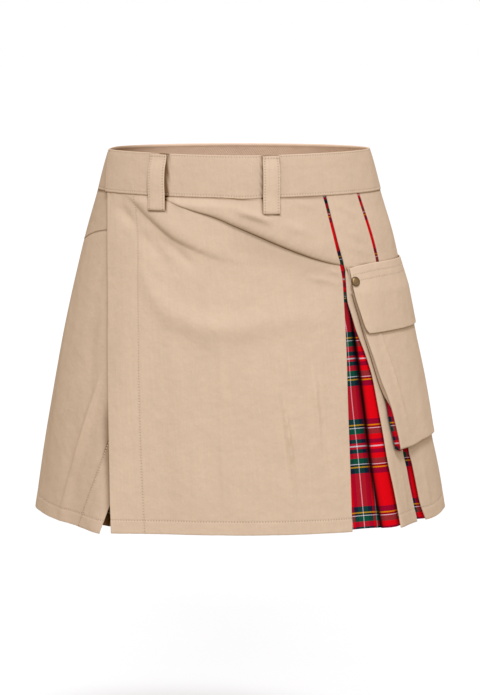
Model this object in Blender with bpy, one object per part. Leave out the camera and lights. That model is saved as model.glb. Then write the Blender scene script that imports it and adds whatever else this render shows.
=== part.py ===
"""A wrap kilt of cotton twill whose pleats open on tartan insets, in the hollow form it has when worn.

Lengths are in millimetres and bearings in degrees until `place` turns them into metres. A bearing is
0 at the front centre (-Y) and grows toward +X, the wearer's left. A drop is measured down from the
waist, and an out is measured outward from the worn form, which the twill's inner face follows.
"""

import functools
import math
from collections import namedtuple

import bmesh
import bpy
import numpy as np

MM = 0.001

# Driving sizes
HEM = 400.0             # drop of the hem
BAND_WIDTH = 45.0
BAND_WALL = 3.0
WAIST_DIP = 2.8         # how much lower the waist lies at the front centre
TWILL = 1.5             # wall of the twill panels
TARTAN = 1.2            # wall of the tartan insets
SEAM = 0.3              # space between pieces that are sewn edge to edge
LAYER = 0.8             # space between pieces that lie on each other
ORIGIN_DROP = BAND_WIDTH / 2

# Waistband: the strip's bearings, from its over-end round to the end that lies under it
BAND_OVER_END = -80.0
BAND_END_LEAN = 6.5             # how far the over-end's lower corner lies past its upper one
BAND_TUCK_START = 200.0         # from here the strip slips inward
BAND_TUCKED = 274.0             # and here it is far enough in to pass under its start
BAND_UNDER_END = 380.0
BAND_UNDER_LOWER = 1.6          # how much lower the under layer's top edge lies
BAND_STEP = 5.0

# Wearer's right side and back
RIGHT_OUT = -0.9 - TWILL        # inner face of the right side's panels
BACK_LEFT = 108.0               # bearing where the back pleats start
BACK_RIGHT = 222.0              # bearing where the back pleats end
BACK_PLEATS = 6
GAP_WAIST = 2.5                 # space between pleat faces at the waist and at the hem
GAP_HEM = 14.0
PLEAT_LIFT = 5.0                # how far a back pleat's leading edge stands out at the hem
INSET_LAP = 7.0                 # how far an inset reaches under the faces beside it
INSET_FOLD = 9.0                # how deep an inset folds inward at the hem
TARTAN_LOWER = 0.8              # how much lower the insets' hems lie than the pleat faces'

Ring = namedtuple("Ring", "drop right left front back")
RINGS = [
    Ring(0, 145.3, 140.0, 98.0, 96.0),
    Ring(46, 157.8, 152.8, 107.5, 106.0),
    Ring(100, 172.9, 168.7, 122.0, 124.0),
    Ring(200, 195.9, 188.8, 142.0, 147.0),
    Ring(300, 214.4, 208.5, 156.0, 160.0),
    Ring(400, 230.1, 226.8, 167.0, 170.0),
]

# Where the hem swings out of the plain rings: the out at the hem, and how far round it spreads
Swing = namedtuple("Swing", "bearing spread out")
SWINGS = [Swing(-46, 10, 16), Swing(54, 5.5, 9), Swing(67, 6, -4)]

# Edges and seams that run down the kilt
Edge = namedtuple("Edge", "drop bearing")
APRON_RIGHT_EDGE = [
    Edge(43, -72.8), Edge(84, -66.1), Edge(138, -60.0), Edge(190, -55.4), Edge(266, -49.4),
    Edge(327, -45.3), Edge(373, -43.1), Edge(402, -41.8),
]
APRON_LEFT_EDGE = [
    Edge(46, 45.0), Edge(70, 45.2), Edge(93, 45.5), Edge(124, 46.6), Edge(141, 46.9), Edge(167, 45.8),
    Edge(218, 44.0), Edge(262, 42.7), Edge(330, 41.4), Edge(401, 40.2),
]
FACE_FRONT_EDGE = [
    Edge(46, 46.8), Edge(93, 47.7), Edge(118, 48.8), Edge(136, 48.9), Edge(146, 48.5), Edge(155, 47.9),
    Edge(162, 47.8), Edge(170, 48.3), Edge(179, 48.8), Edge(189, 49.3), Edge(202, 50.4), Edge(214, 51.4),
    Edge(226, 52.2), Edge(238, 52.8), Edge(250, 53.1), Edge(300, 53.7), Edge(330, 53.9), Edge(360, 54.6),
    Edge(400, 55.1),
]
FACE_BACK_EDGE = [
    Edge(44, 63.9), Edge(80, 64.8), Edge(120, 65.6), Edge(200, 65.4), Edge(324, 63.2),
    Edge(341, 64.1), Edge(362, 64.8), Edge(383, 65.8), Edge(400, 66.6),
]
SIDE_LEFT_EDGE = [
    Edge(44, 65.5), Edge(80, 66.6), Edge(120, 67.4), Edge(200, 67.2), Edge(323, 66.7),
    Edge(341, 67.6), Edge(362, 68.3), Edge(383, 69.0), Edge(401, 70.5),
]
TARTAN_FOLD = [
    Edge(46, 47.8), Edge(100, 48.8), Edge(146, 48.4), Edge(162, 48.0), Edge(175, 48.5), Edge(191, 49.1),
    Edge(214, 49.7), Edge(255, 49.8), Edge(296, 49.9), Edge(327, 49.9), Edge(349, 50.1), Edge(379, 50.6),
    Edge(400, 50.9),
]
FELLED_SEAM = [
    Edge(44, -29.0), Edge(150, -36.5), Edge(250, -43.6), Edge(303, -48.1), Edge(340, -51.0),
    Edge(376, -54.7), Edge(402, -57.0),
]
STRIP_EDGE = [
    Edge(44, -8.0), Edge(150, -19.0), Edge(250, -31.0), Edge(340, -41.0), Edge(373, -43.9),
    Edge(388, -44.8), Edge(404, -45.8),
]
UNDER_APRON_RIGHT_EDGE = [Edge(44, -40.0), Edge(200, -52.0), Edge(402, -62.0)]
UNDER_APRON_LEFT_EDGE = [Edge(44, 25.0), Edge(402, 22.0)]
UNDER_HANG_RIGHT = -20.5        # the under-apron's out at the hem, on its right and its left
UNDER_HANG_LEFT = -9.0
UNDER_SHORTER = 3.0             # how much higher its hem lies
POCKET_FRONT_EDGE = [
    Edge(150, 49.6), Edge(163, 50.2), Edge(176, 50.9), Edge(194, 51.7), Edge(216, 53.0), Edge(246, 54.8),
    Edge(258, 55.9), Edge(274, 57.0), Edge(290, 57.6), Edge(307, 58.2), Edge(318, 58.4),
]
FLAP_FRONT_EDGE = [
    Edge(120, 50.3), Edge(130, 50.0), Edge(138, 49.7), Edge(148, 49.3), Edge(158, 49.6), Edge(170, 50.3),
    Edge(188, 51.4), Edge(193, 52.6),
]

# Edges and seams that run round the kilt
Level = namedtuple("Level", "bearing drop")
YOKE_SEAM = [
    Level(-138, 131), Level(-120, 122), Level(-105, 111), Level(-95, 104), Level(-85, 97),
    Level(-75, 88.8), Level(-67, 85), Level(-55, 82), Level(-28, 80),
]
APRON_HEM = [Level(-42, 402.0), Level(-20, 401), Level(0, 401), Level(20, 401), Level(41, 401.8)]
STRIP_HEM = [Level(-60, 401), Level(-57, 401.2), Level(-50, 402.8), Level(-45.8, 404)]
RIGHT_HEM = [Level(-138, 400), Level(-100, 398), Level(-82, 397), Level(-70, 399), Level(-57, 401.2)]
LEFT_HEM = [Level(53, 401.2), Level(66, 401.4), Level(74, 401), Level(85, 398.6), Level(110, 400)]
FLAP_TOP = [Level(46.9, 126.2), Level(50.4, 123.8), Level(54.3, 121.6), Level(65.4, 119.4), Level(104, 118.5)]
FLAP_BOTTOM = [Level(46.9, 192.0), Level(53, 192.8), Level(65, 192.5), Level(104, 190.5)]
POCKET_BOTTOM = [Level(47, 318.5), Level(57.4, 318.5), Level(66.6, 318.0), Level(74, 314.5), Level(104, 312)]

# Drape folds of the over-apron: their line, and the height of the cloth's bulge above it
Fold = namedtuple("Fold", "bearing drop height")
MAIN_FOLD = [
    Fold(-52, 38, 0.0), Fold(-44, 46, 1.0), Fold(-37, 52, 2.0), Fold(-26, 60.3, 3.4), Fold(-13, 68, 4.6),
    Fold(-2.5, 77, 5.2), Fold(7.6, 86, 5.4), Fold(17.3, 95.4, 5.2), Fold(26.6, 104.4, 4.6),
    Fold(36.5, 113.2, 3.6), Fold(45, 119, 2.4), Fold(54, 122, 0.0),
]
SECOND_FOLD = [
    Fold(-64, 44, 0.0), Fold(-57.2, 52, 2.2), Fold(-43.3, 74.6, 3.7), Fold(-32.4, 91.5, 4.0),
    Fold(-18.3, 105.6, 3.2), Fold(-5.9, 114.2, 1.7), Fold(6, 119, 0.0),
]
FOLD_REACH = 13.0               # from a fold's line up to the crest of its bulge
FOLD_GROOVE = 0.10              # depth of the trough under the line, as a share of the bulge
FOLD_SEAM_FADE = 10.0           # the folds flatten over this drop below the band
FOLD_SEAM_SHARE = 0.35          # and keep this share of their height at its seam

# The cargo pocket: how far its front stands off the worn form
POCKET_BACK_EDGE = 102.0
POCKET_TOP = 150.0
Stand = namedtuple("Stand", "bearing top bottom")
POCKET_STANDS = [
    Stand(47, 4.2, 8.0), Stand(57, 4.2, 8.4), Stand(66, 4.0, 7.2), Stand(80, 3.6, 4.6),
    Stand(95, 3.0, 3.6), Stand(102, 2.3, 2.3), Stand(106, 2.3, 2.3),
]
POCKET_WALL = 1.5
GUSSET_TOP = 200.0
GUSSET_OUT_FROM = 250.0         # from this drop to the next, the side wall comes out past the edge
GUSSET_OUT_TO = 285.0
GUSSET_BULGE = 6.0
GUSSET_FLAT = (58.6, 61.0)      # bearings over which the bulge fades along the pocket's bottom
GUSSET_FLAT_BULGE = 1.5         # how far it still bulges from there on
GUSSET_FULL_AT = 6.0            # height of the gusset from which it bulges fully
FLAP_SEWN_OUT = TWILL + LAYER   # the flap's inner face along its sewn top edge
FLAP_CORNER = 3.6
FLAP_CORNER_START = 180.0
FLAP_CORNER_END = 188.0

# Belt loops: the bearing of the middle line at the top and bottom, and the width
Loop = namedtuple("Loop", "number top bottom width")
BELT_LOOPS = [
    Loop(1, -46.6, -41.9, 18.8), Loop(2, 18.3, 16.2, 17.2), Loop(3, 124, 124, 18.0),
    Loop(4, 171, 171, 18.0), Loop(5, 219, 219, 18.0),
]
LOOP_TOP = 1.0
LOOP_BOTTOM = 61.5
LOOP_WALL = 1.6
LOOP_SEWN_FROM = 38.0           # between these drops a loop goes from its bow to the cloth
LOOP_SEWN_TO = 59.0
Bow = namedtuple("Bow", "drop out")
LOOP_BOW = [Bow(0, 0.4), Bow(8, 0.8), Bow(18, 3.0), Bow(32, 3.8), Bow(43, 3.2)]
LOOP_END_OUT = 0.5              # the bottom end's space over the cloth that it is sewn to

# Press stud on the flap
SNAP_BEARING = 50.6
SNAP_DROP = 137.5
Turn = namedtuple("Turn", "radius height")
SNAP_PROFILE = [Turn(4.2, 0.0), Turn(5.2, 0.3), Turn(5.3, 0.8), Turn(4.9, 1.5), Turn(3.9, 2.1), Turn(2.2, 2.5)]
SNAP_SIDES = 20
SNAP_SEAT = 0.35

# Colours, linear RGB
TAN = (0.640, 0.480, 0.360, 1.0)
TAN_SHADE = (0.560, 0.410, 0.300, 1.0)
TARTAN_RED = (0.660, 0.010, 0.015, 1.0)
BRASS = (0.300, 0.210, 0.110, 1.0)


# ---------------------------------------------------------------- rules along tables
def track(rows, column, at):
    """A column's value between a table's rows, on a smooth curve through them. The first column leads."""
    keys = [row[0] for row in rows]
    values = [getattr(row, column) for row in rows]
    if at <= keys[0]:
        return values[0]
    if at >= keys[-1]:
        return values[-1]
    slopes = []
    for i in range(len(keys)):
        low = max(i - 1, 0)
        high = min(i + 1, len(keys) - 1)
        slopes.append((values[high] - values[low]) / (keys[high] - keys[low]))
    i = max(k for k in range(len(keys) - 1) if keys[k] <= at)
    span = keys[i + 1] - keys[i]
    t = (at - keys[i]) / span
    return (
        values[i] * (2 * t**3 - 3 * t**2 + 1)
        + slopes[i] * span * (t**3 - 2 * t**2 + t)
        + values[i + 1] * (3 * t**2 - 2 * t**3)
        + slopes[i + 1] * span * (t**3 - t**2)
    )


def mix(low, high, share):
    """The value that lies at a share of the way from low to high."""
    return low + (high - low) * share


def ease(low, high, at):
    """0 up to low and 1 from high on, with a smooth step between."""
    t = min(max((at - low) / (high - low), 0.0), 1.0)
    return t * t * (3 - 2 * t)


def down(rows):
    """The function that gives an edge's bearing at a drop."""
    return lambda drop: track(rows, "bearing", drop)


def across(rows):
    """The function that gives a level's drop at a bearing."""
    return lambda bearing: track(rows, "drop", bearing)


def level(value):
    """The function that gives the same value everywhere."""
    return lambda *where: value


# ---------------------------------------------------------------- the worn form
def wrapped(bearing):
    """The same bearing within half a turn of the front centre."""
    return (bearing + 180.0) % 360.0 - 180.0


@functools.lru_cache(maxsize=None)
def ring(drop):
    """The half widths and depths of the worn form at a drop."""
    return Ring(drop, *(track(RINGS, name, drop) for name in ("right", "left", "front", "back")))


def form_radius(bearing, drop):
    """The distance of the worn form from the middle line."""
    bearing = wrapped(bearing)
    sine = math.sin(math.radians(bearing))
    cosine = math.cos(math.radians(bearing))
    size = ring(drop)
    half_width = size.left if sine > 0 else size.right
    depth = size.front if cosine > 0 else size.back
    radius = 1 / math.hypot(sine / half_width, cosine / depth)
    growth = (max(drop, 0.0) / HEM) ** 2
    for swing in SWINGS:
        radius += swing.out * growth * math.exp(-(((bearing - swing.bearing) / swing.spread) ** 2))
    return radius


def place(bearing, drop, out):
    """The point at a bearing, a drop and an out, in metres."""
    radius = form_radius(bearing, drop) + out
    turn = math.radians(bearing)
    return (MM * radius * math.sin(turn), -MM * radius * math.cos(turn), MM * (ORIGIN_DROP - drop))


@functools.lru_cache(maxsize=None)
def ring_lengths(drop):
    """Bearings round the form, and the length of the ring up to each."""
    bearings = np.arange(-190.0, 400.0, 2.0)
    points = np.array([place(bearing, drop, 0.0) for bearing in bearings]) / MM
    steps = np.linalg.norm(np.diff(points, axis=0), axis=1)
    return bearings, np.concatenate([[0.0], np.cumsum(steps)])


def walk(bearing, distance, drop):
    """The bearing reached after a distance round the form."""
    bearings, lengths = ring_lengths(round(drop, 2))
    start = np.interp(bearing, bearings, lengths)
    return float(np.interp(start + distance, lengths, bearings))


def length_between(start, end, drop):
    """The length of the ring between two bearings."""
    bearings, lengths = ring_lengths(round(drop, 2))
    return float(np.interp(end, bearings, lengths) - np.interp(start, bearings, lengths))


def waist_dip(bearing):
    """How much lower the waist lies than at the sides."""
    return WAIST_DIP * max(math.cos(math.radians(bearing)), 0.0) ** 2


def band_bottom(bearing):
    """The drop of the waistband's lower edge."""
    return BAND_WIDTH + waist_dip(bearing)


def below_band(bearing):
    """The drop where the panels start."""
    return band_bottom(bearing) + SEAM


# ---------------------------------------------------------------- materials and meshes
def material(name, colour, roughness, metallic=0.0):
    """A plain surface of one colour."""
    made = bpy.data.materials.new(name)
    made.use_nodes = True
    surface = made.node_tree.nodes["Principled BSDF"]
    surface.inputs["Base Color"].default_value = colour
    surface.inputs["Roughness"].default_value = roughness
    surface.inputs["Metallic"].default_value = metallic
    made.diffuse_color = colour
    return made


def make_object(name, points, faces, surface, sharp=40.0):
    """One named solid from its points and faces."""
    mesh = bpy.data.meshes.new(name)
    mesh.from_pydata(points, [], faces)
    mesh.validate()
    shell = bmesh.new()
    shell.from_mesh(mesh)
    bmesh.ops.recalc_face_normals(shell, faces=shell.faces)
    shell.to_mesh(mesh)
    shell.free()
    mesh.shade_smooth()
    mesh.set_sharp_from_angle(angle=math.radians(sharp))
    mesh.materials.append(surface)
    made = bpy.data.objects.new(name, mesh)
    bpy.context.scene.collection.objects.link(made)
    return made


def wall(name, outer_points, inner_points, surface):
    """A closed wall from two grids of points, one for each face; a grid is a list of rows."""
    rows = len(outer_points)
    columns = len(outer_points[0])
    points = [point for row in outer_points for point in row]
    points += [point for row in inner_points for point in row]
    back = rows * columns

    def at(i, j):
        return i * columns + j

    faces = []
    for i in range(rows - 1):
        for j in range(columns - 1):
            quad = (at(i, j), at(i + 1, j), at(i + 1, j + 1), at(i, j + 1))
            faces.append(quad)
            faces.append(tuple(back + corner for corner in reversed(quad)))
    rim = [at(0, j) for j in range(columns)]
    rim += [at(i, columns - 1) for i in range(1, rows)]
    rim += [at(rows - 1, j) for j in range(columns - 2, -1, -1)]
    rim += [at(i, 0) for i in range(rows - 2, 0, -1)]
    for here, after in zip(rim, rim[1:] + rim[:1]):
        faces.append((here, after, back + after, back + here))
    return make_object(name, points, faces, surface)


def shares(count):
    """Even shares from 0 to 1."""
    return [i / count for i in range(count + 1)]


def panel(name, surface, start, end, top, bottom, inner, thickness, columns, rows):
    """A panel of cloth between two edges and two levels.

    start and end give a bearing at a drop, top and bottom a drop at a bearing, and inner the out of the
    inner face at a bearing, a drop and a share across. columns and rows are counts or lists of shares.
    """
    columns = shares(columns) if isinstance(columns, int) else columns
    rows = shares(rows) if isinstance(rows, int) else rows
    outer_points = []
    inner_points = []
    for down_share in rows:
        outer_row = []
        inner_row = []
        for side_share in columns:
            drop = mix(top(0.0), bottom(0.0), down_share)
            for _ in range(4):
                bearing = mix(start(drop), end(drop), side_share)
                drop = mix(top(bearing), bottom(bearing), down_share)
            out = inner(bearing, drop, side_share)
            outer_row.append(place(bearing, drop, out + thickness))
            inner_row.append(place(bearing, drop, out))
        outer_points.append(outer_row)
        inner_points.append(inner_row)
    return wall(name, outer_points, inner_points, surface)


# ---------------------------------------------------------------- waistband
def band_out(bearing):
    """The inner face's out: the band slips inward behind the right side, to pass under its own start."""
    return mix(0.0, -BAND_WALL - LAYER, ease(BAND_TUCK_START, BAND_TUCKED, bearing))


def make_waistband(surface):
    """One strip, from its over-end on the wearer's right, all round, and on under that end."""

    def start(drop):
        return BAND_OVER_END + BAND_END_LEAN * drop / BAND_WIDTH

    def top(bearing):
        return waist_dip(bearing) + BAND_UNDER_LOWER * ease(BAND_TUCKED - 20.0, BAND_TUCKED, bearing)

    panel(
        "waistband", surface, start, level(BAND_UNDER_END), top, band_bottom,
        lambda bearing, drop, share: band_out(bearing), BAND_WALL,
        int((BAND_UNDER_END - BAND_OVER_END) / BAND_STEP), 1,
    )


# ---------------------------------------------------------------- aprons
def fold_relief(rows, bearing, drop):
    """The bulge over a fold's line and the shallow trough under it."""
    height = track(rows, "height", bearing)
    above = (track(rows, "drop", bearing) - drop) / FOLD_REACH
    if above >= 0:
        return height * above * math.exp(1 - above)
    return height * FOLD_GROOVE * above * math.exp(1 + above)


def apron_out(bearing, drop):
    """The over-apron's inner face, with its drape folds fading into the band's seam."""
    relief = fold_relief(MAIN_FOLD, bearing, drop) + fold_relief(SECOND_FOLD, bearing, drop)
    seam_fade = ease(0.0, FOLD_SEAM_FADE, drop - below_band(bearing))
    return relief * mix(FOLD_SEAM_SHARE, 1.0, seam_fade)


def make_front_apron(surface):
    """The over-apron, with more rows where its folds are."""
    folded_part = 0.24
    folded_rows = 13
    plain_rows = 11
    rows = [folded_part * share for share in shares(folded_rows)]
    rows += [mix(folded_part, 1.0, share) for share in shares(plain_rows)[1:]]
    panel(
        "front_apron", surface, down(APRON_RIGHT_EDGE), down(APRON_LEFT_EDGE), below_band,
        across(APRON_HEM), lambda bearing, drop, share: apron_out(bearing, drop), TWILL, 26, rows,
    )


def make_under_apron(surface):
    """The inner end of the wrap, which hangs free of the over-apron toward the hem."""
    top_out = RIGHT_OUT - LAYER - TWILL

    def out(bearing, drop, share):
        hem_out = mix(UNDER_HANG_RIGHT, UNDER_HANG_LEFT, ease(-50.0, 5.0, bearing))
        return mix(top_out, hem_out, (drop / HEM) ** 1.5)

    panel(
        "under_apron", surface, down(UNDER_APRON_RIGHT_EDGE), down(UNDER_APRON_LEFT_EDGE),
        below_band, level(HEM - UNDER_SHORTER), out, TWILL, 14, 7,
    )


# ---------------------------------------------------------------- wearer's right side
def make_right_side(surface):
    """The yoke, the panel under it, and the strip in front of the felled seam."""
    right_out = level(RIGHT_OUT)
    seam = down(FELLED_SEAM)
    yoke = across(YOKE_SEAM)

    def back_edge(drop):
        return BACK_RIGHT - 360.0

    def panel_edge(drop):
        return walk(seam(drop), -SEAM / 2, drop)

    def strip_start(drop):
        return walk(seam(drop), SEAM / 2, drop)

    yoke_rows = 2
    panel_rows = 10
    yoke_depth = YOKE_SEAM[-1].drop - BAND_WIDTH
    yoke_part = yoke_depth / (HEM - BAND_WIDTH)
    strip_rows = [yoke_part * share for share in shares(yoke_rows)]
    strip_rows += [mix(yoke_part, 1.0, share) for share in shares(panel_rows)[1:]]
    panel(
        "side_yoke_right", surface, back_edge, panel_edge, below_band,
        lambda bearing: yoke(bearing) - SEAM / 2, right_out, TWILL, 18, yoke_rows,
    )
    panel(
        "side_panel_right", surface, back_edge, panel_edge,
        lambda bearing: yoke(bearing) + SEAM / 2,
        across(RIGHT_HEM), right_out, TWILL, 18, panel_rows,
    )
    panel(
        "side_strip_right", surface, strip_start, down(STRIP_EDGE), below_band, across(STRIP_HEM),
        right_out, TWILL, 5, strip_rows,
    )


# ---------------------------------------------------------------- pleats
def back_gap(drop):
    """The space between the back's pleat faces."""
    return mix(GAP_WAIST, GAP_HEM, (drop / HEM) ** 1.3)


def back_face(drop):
    """The width of a back pleat's face."""
    whole = length_between(BACK_LEFT, BACK_RIGHT, drop)
    return (whole - (BACK_PLEATS + 1) * back_gap(drop)) / BACK_PLEATS


def gap_edges(number, drop):
    """The bearings on both sides of one of the back's gaps, counted from 0."""
    distance = number * (back_gap(drop) + back_face(drop))
    return walk(BACK_LEFT, distance, drop), walk(BACK_LEFT, distance + back_gap(drop), drop)


def pleat_lift(drop):
    """How far a back pleat's leading edge stands out."""
    return PLEAT_LIFT * (drop / HEM) ** 2


def make_pleat_faces(surface):
    """The front pleat face, the panel under the pocket, and the faces of the back."""
    flat = level(0.0)
    panel(
        "pleat_face_front", surface, down(FACE_FRONT_EDGE), down(FACE_BACK_EDGE), below_band,
        across(LEFT_HEM), flat, TWILL, 4, 16,
    )
    panel(
        "side_panel_left", surface, down(SIDE_LEFT_EDGE), level(BACK_LEFT), below_band,
        across(LEFT_HEM), flat, TWILL, 10, 9,
    )
    for number in range(BACK_PLEATS):
        panel(
            f"pleat_back_{number + 1}", surface,
            lambda drop, n=number: gap_edges(n, drop)[1],
            lambda drop, n=number: gap_edges(n + 1, drop)[0],
            below_band, level(HEM),
            lambda bearing, drop, share: pleat_lift(drop) * (1 - share),
            TWILL, 3, 7,
        )


def make_inset(number, surface, start, end, lift_start, lift_end):
    """A tartan inset behind a gap, folded inward along its middle."""

    def from_edge(drop):
        return walk(start(drop), -INSET_LAP, drop)

    def to_edge(drop):
        return walk(end(drop), INSET_LAP, drop)

    def out(bearing, drop, share):
        fold = INSET_FOLD * (drop / HEM) ** 1.2 * (1 - abs(2 * share - 1))
        lift = mix(lift_start(drop), lift_end(drop), share)
        return lift - fold - LAYER - TARTAN

    panel(
        f"tartan_inset_{number}", surface, from_edge, to_edge, below_band, level(HEM + TARTAN_LOWER),
        out, TARTAN, 4, 7,
    )


def make_insets(surface):
    """The insets behind the second slit and behind each gap of the back."""
    make_inset(2, surface, down(FACE_BACK_EDGE), down(SIDE_LEFT_EDGE), level(0.0), level(0.0))
    for number in range(BACK_PLEATS + 1):
        last = number == BACK_PLEATS

        def lift_before(drop, first=number == 0):
            return 0.0 if first else pleat_lift(drop) * INSET_LAP / back_face(drop)

        def lift_after(drop, right_side=last):
            if right_side:
                return RIGHT_OUT
            return pleat_lift(drop) * (1 - INSET_LAP / back_face(drop))

        make_inset(
            number + 3, surface,
            lambda drop, n=number: gap_edges(n, drop)[0],
            lambda drop, n=number: gap_edges(n, drop)[1],
            lift_before, lift_after,
        )


Bend = namedtuple("Bend", "line along out")
FRONT_INSET_BENDS = [
    Bend("apron", -12.0, -1.5), Bend("apron", 1.0, -1.9), Bend("fold", -3.5, -5.0),
    Bend("fold", 7.0, -5.2), Bend("fold", 8.3, -4.3), Bend("fold", 7.0, -3.4),
    Bend("fold", 1.0, -3.3), Bend("fold", -0.4, -2.4), Bend("fold", 1.0, -1.5),
    Bend("face", 11.0, -1.5),
]
FRONT_INSET_DEPTH = 4.0     # how much further in the first inset hangs at the hem


def make_front_inset(surface):
    """The first inset: a strip with a Z-fold, whose upper layer opens from the pleat face downward."""
    lines = {"apron": down(APRON_LEFT_EDGE), "fold": down(TARTAN_FOLD), "face": down(FACE_FRONT_EDGE)}
    top = max(below_band(36.0), below_band(52.0))
    outer_points = []
    inner_points = []
    for share in shares(11):
        drop = mix(top, HEM + TARTAN_LOWER, share)
        sink = FRONT_INSET_DEPTH * (drop / HEM) ** 1.5
        section = []
        for bend in FRONT_INSET_BENDS:
            bearing = walk(lines[bend.line](drop), bend.along, drop)
            section.append((length_between(0.0, bearing, drop), bend.out - sink))
        outer_row = []
        inner_row = []
        for i, (along, out) in enumerate(section):
            before = section[max(i - 1, 0)]
            after = section[min(i + 1, len(section) - 1)]
            step = math.hypot(after[0] - before[0], after[1] - before[1])
            side = (-(after[1] - before[1]) / step, (after[0] - before[0]) / step)
            for sign, row in ((0.5, outer_row), (-0.5, inner_row)):
                moved = along + side[0] * TARTAN * sign
                row.append(place(walk(0.0, moved, drop), drop, out + side[1] * TARTAN * sign))
        outer_points.append(outer_row)
        inner_points.append(inner_row)
    wall("tartan_inset_1", outer_points, inner_points, surface)


# ---------------------------------------------------------------- belt loops
def loop_out(bearing, drop):
    """A loop's inner face: on the band at its top, bowed for the belt, then sewn to the skirt below."""
    on_band = BAND_WALL + band_out(bearing % 360.0 if bearing > 90 else bearing)
    carried = max(apron_out(bearing, LOOP_BOTTOM), 0.0) if abs(bearing) < 60 else 0.0
    on_skirt = TWILL + carried + LOOP_END_OUT
    bowed = on_band + track(LOOP_BOW, "out", drop)
    return mix(bowed, on_skirt, ease(LOOP_SEWN_FROM, LOOP_SEWN_TO, drop))


def make_belt_loops(surface):
    """Strips of even width that hang straight down over the band."""
    for loop in BELT_LOOPS:
        def middle(drop, loop=loop):
            return mix(loop.top, loop.bottom, drop / LOOP_BOTTOM)

        panel(
            f"belt_loop_{loop.number}", surface,
            lambda drop, middle=middle, half=loop.width / 2: walk(middle(drop), -half, drop),
            lambda drop, middle=middle, half=loop.width / 2: walk(middle(drop), half, drop),
            lambda bearing: LOOP_TOP + waist_dip(bearing), level(LOOP_BOTTOM),
            lambda bearing, drop, share: loop_out(bearing, drop), LOOP_WALL, 2, 9,
        )


# ---------------------------------------------------------------- cargo pocket
def pocket_out(bearing, drop):
    """The pocket front's inner face."""
    share = ease(POCKET_TOP, POCKET_BOTTOM[0].drop, drop)
    return mix(track(POCKET_STANDS, "top", bearing), track(POCKET_STANDS, "bottom", bearing), share)


def make_pocket_front(surface):
    """The pocket's front, which stands off most at its lower front corner."""
    panel(
        "pocket_front", surface, down(POCKET_FRONT_EDGE), level(POCKET_BACK_EDGE), level(POCKET_TOP),
        across(POCKET_BOTTOM), lambda bearing, drop, share: pocket_out(bearing, drop),
        POCKET_WALL, 12, 8,
    )


def flap_out(bearing, drop):
    """The flap's inner face: sewn along its top, then lying over the pocket front."""
    over_pocket = pocket_out(bearing, max(drop, POCKET_TOP)) + POCKET_WALL + LAYER
    top = track(FLAP_TOP, "drop", bearing)
    return mix(FLAP_SEWN_OUT, over_pocket, min((drop - top) / (POCKET_TOP - top), 1.0))


def make_pocket_flap(surface):
    """The flap, with its lower front corner rounded."""
    front_edge = down(FLAP_FRONT_EDGE)

    def bottom(bearing):
        corner = walk(front_edge(FLAP_CORNER_END), FLAP_CORNER, FLAP_CORNER_END)
        rounding = FLAP_CORNER * (1 - ease(front_edge(FLAP_CORNER_START), corner, bearing))
        return track(FLAP_BOTTOM, "drop", bearing) - rounding

    panel(
        "pocket_flap", surface, front_edge, level(POCKET_BACK_EDGE + 1.0), across(FLAP_TOP), bottom,
        lambda bearing, drop, share: flap_out(bearing, drop), TWILL,
        [0.0, 0.03, 0.08, 0.15, 0.24, 0.34, 0.45, 0.56, 0.67, 0.78, 0.89, 1.0], 7,
    )


def gusset_bulge(bearing, drop, side_down):
    """How far the gusset's middle bulges: not at its top, most round its lower front corner."""
    come_out = 1.0 if side_down > 0 else ease(GUSSET_OUT_FROM, GUSSET_OUT_TO, drop)
    return come_out * mix(GUSSET_BULGE, GUSSET_FLAT_BULGE, ease(*GUSSET_FLAT, bearing))


def make_pocket_gusset(surface):
    """The pocket's side wall, down its front edge and along its bottom, bulged toward the apron."""
    inset = 1.2
    corner_reach = 8.0
    path = []
    for share in shares(9):
        drop = mix(GUSSET_TOP, POCKET_BOTTOM[0].drop - corner_reach, share)
        path.append((walk(track(POCKET_FRONT_EDGE, "bearing", drop), inset, drop), drop, (-1.0, 0.0)))
    corner_bearing = track(POCKET_FRONT_EDGE, "bearing", POCKET_BOTTOM[0].drop)
    for turn in (30.0, 60.0):
        drop = POCKET_BOTTOM[0].drop - inset - corner_reach * (1 - math.sin(math.radians(turn)))
        along = inset + corner_reach * (1 - math.cos(math.radians(turn)))
        side = (-math.cos(math.radians(turn)), math.sin(math.radians(turn)))
        path.append((walk(corner_bearing, along, drop), drop, side))
    first = walk(corner_bearing, corner_reach + inset, POCKET_BOTTOM[0].drop)
    for share in shares(9):
        bearing = mix(first, POCKET_BACK_EDGE - 8.0, share)
        path.append((bearing, track(POCKET_BOTTOM, "drop", bearing) - inset, (0.0, 1.0)))
    heights = [0.0, 0.35, 0.7, 1.0]
    outer_points = []
    inner_points = []
    for bearing, drop, side in path:
        low = TWILL + LAYER
        high = max(pocket_out(bearing, drop) - LAYER / 2, low + 0.6)
        outer_row = []
        inner_row = []
        for height in heights:
            bulge = gusset_bulge(bearing, drop, side[1]) * math.sin(math.pi * height)
            bulge *= min(1.0, (high - low) / GUSSET_FULL_AT)
            for distance, row in ((bulge, outer_row), (bulge - TARTAN, inner_row)):
                moved_drop = drop + side[1] * distance
                moved = walk(bearing, side[0] * distance, moved_drop)
                row.append(place(moved, moved_drop, mix(low, high, height)))
        outer_points.append(outer_row)
        inner_points.append(inner_row)
    wall("pocket_gusset", outer_points, inner_points, surface)


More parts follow.
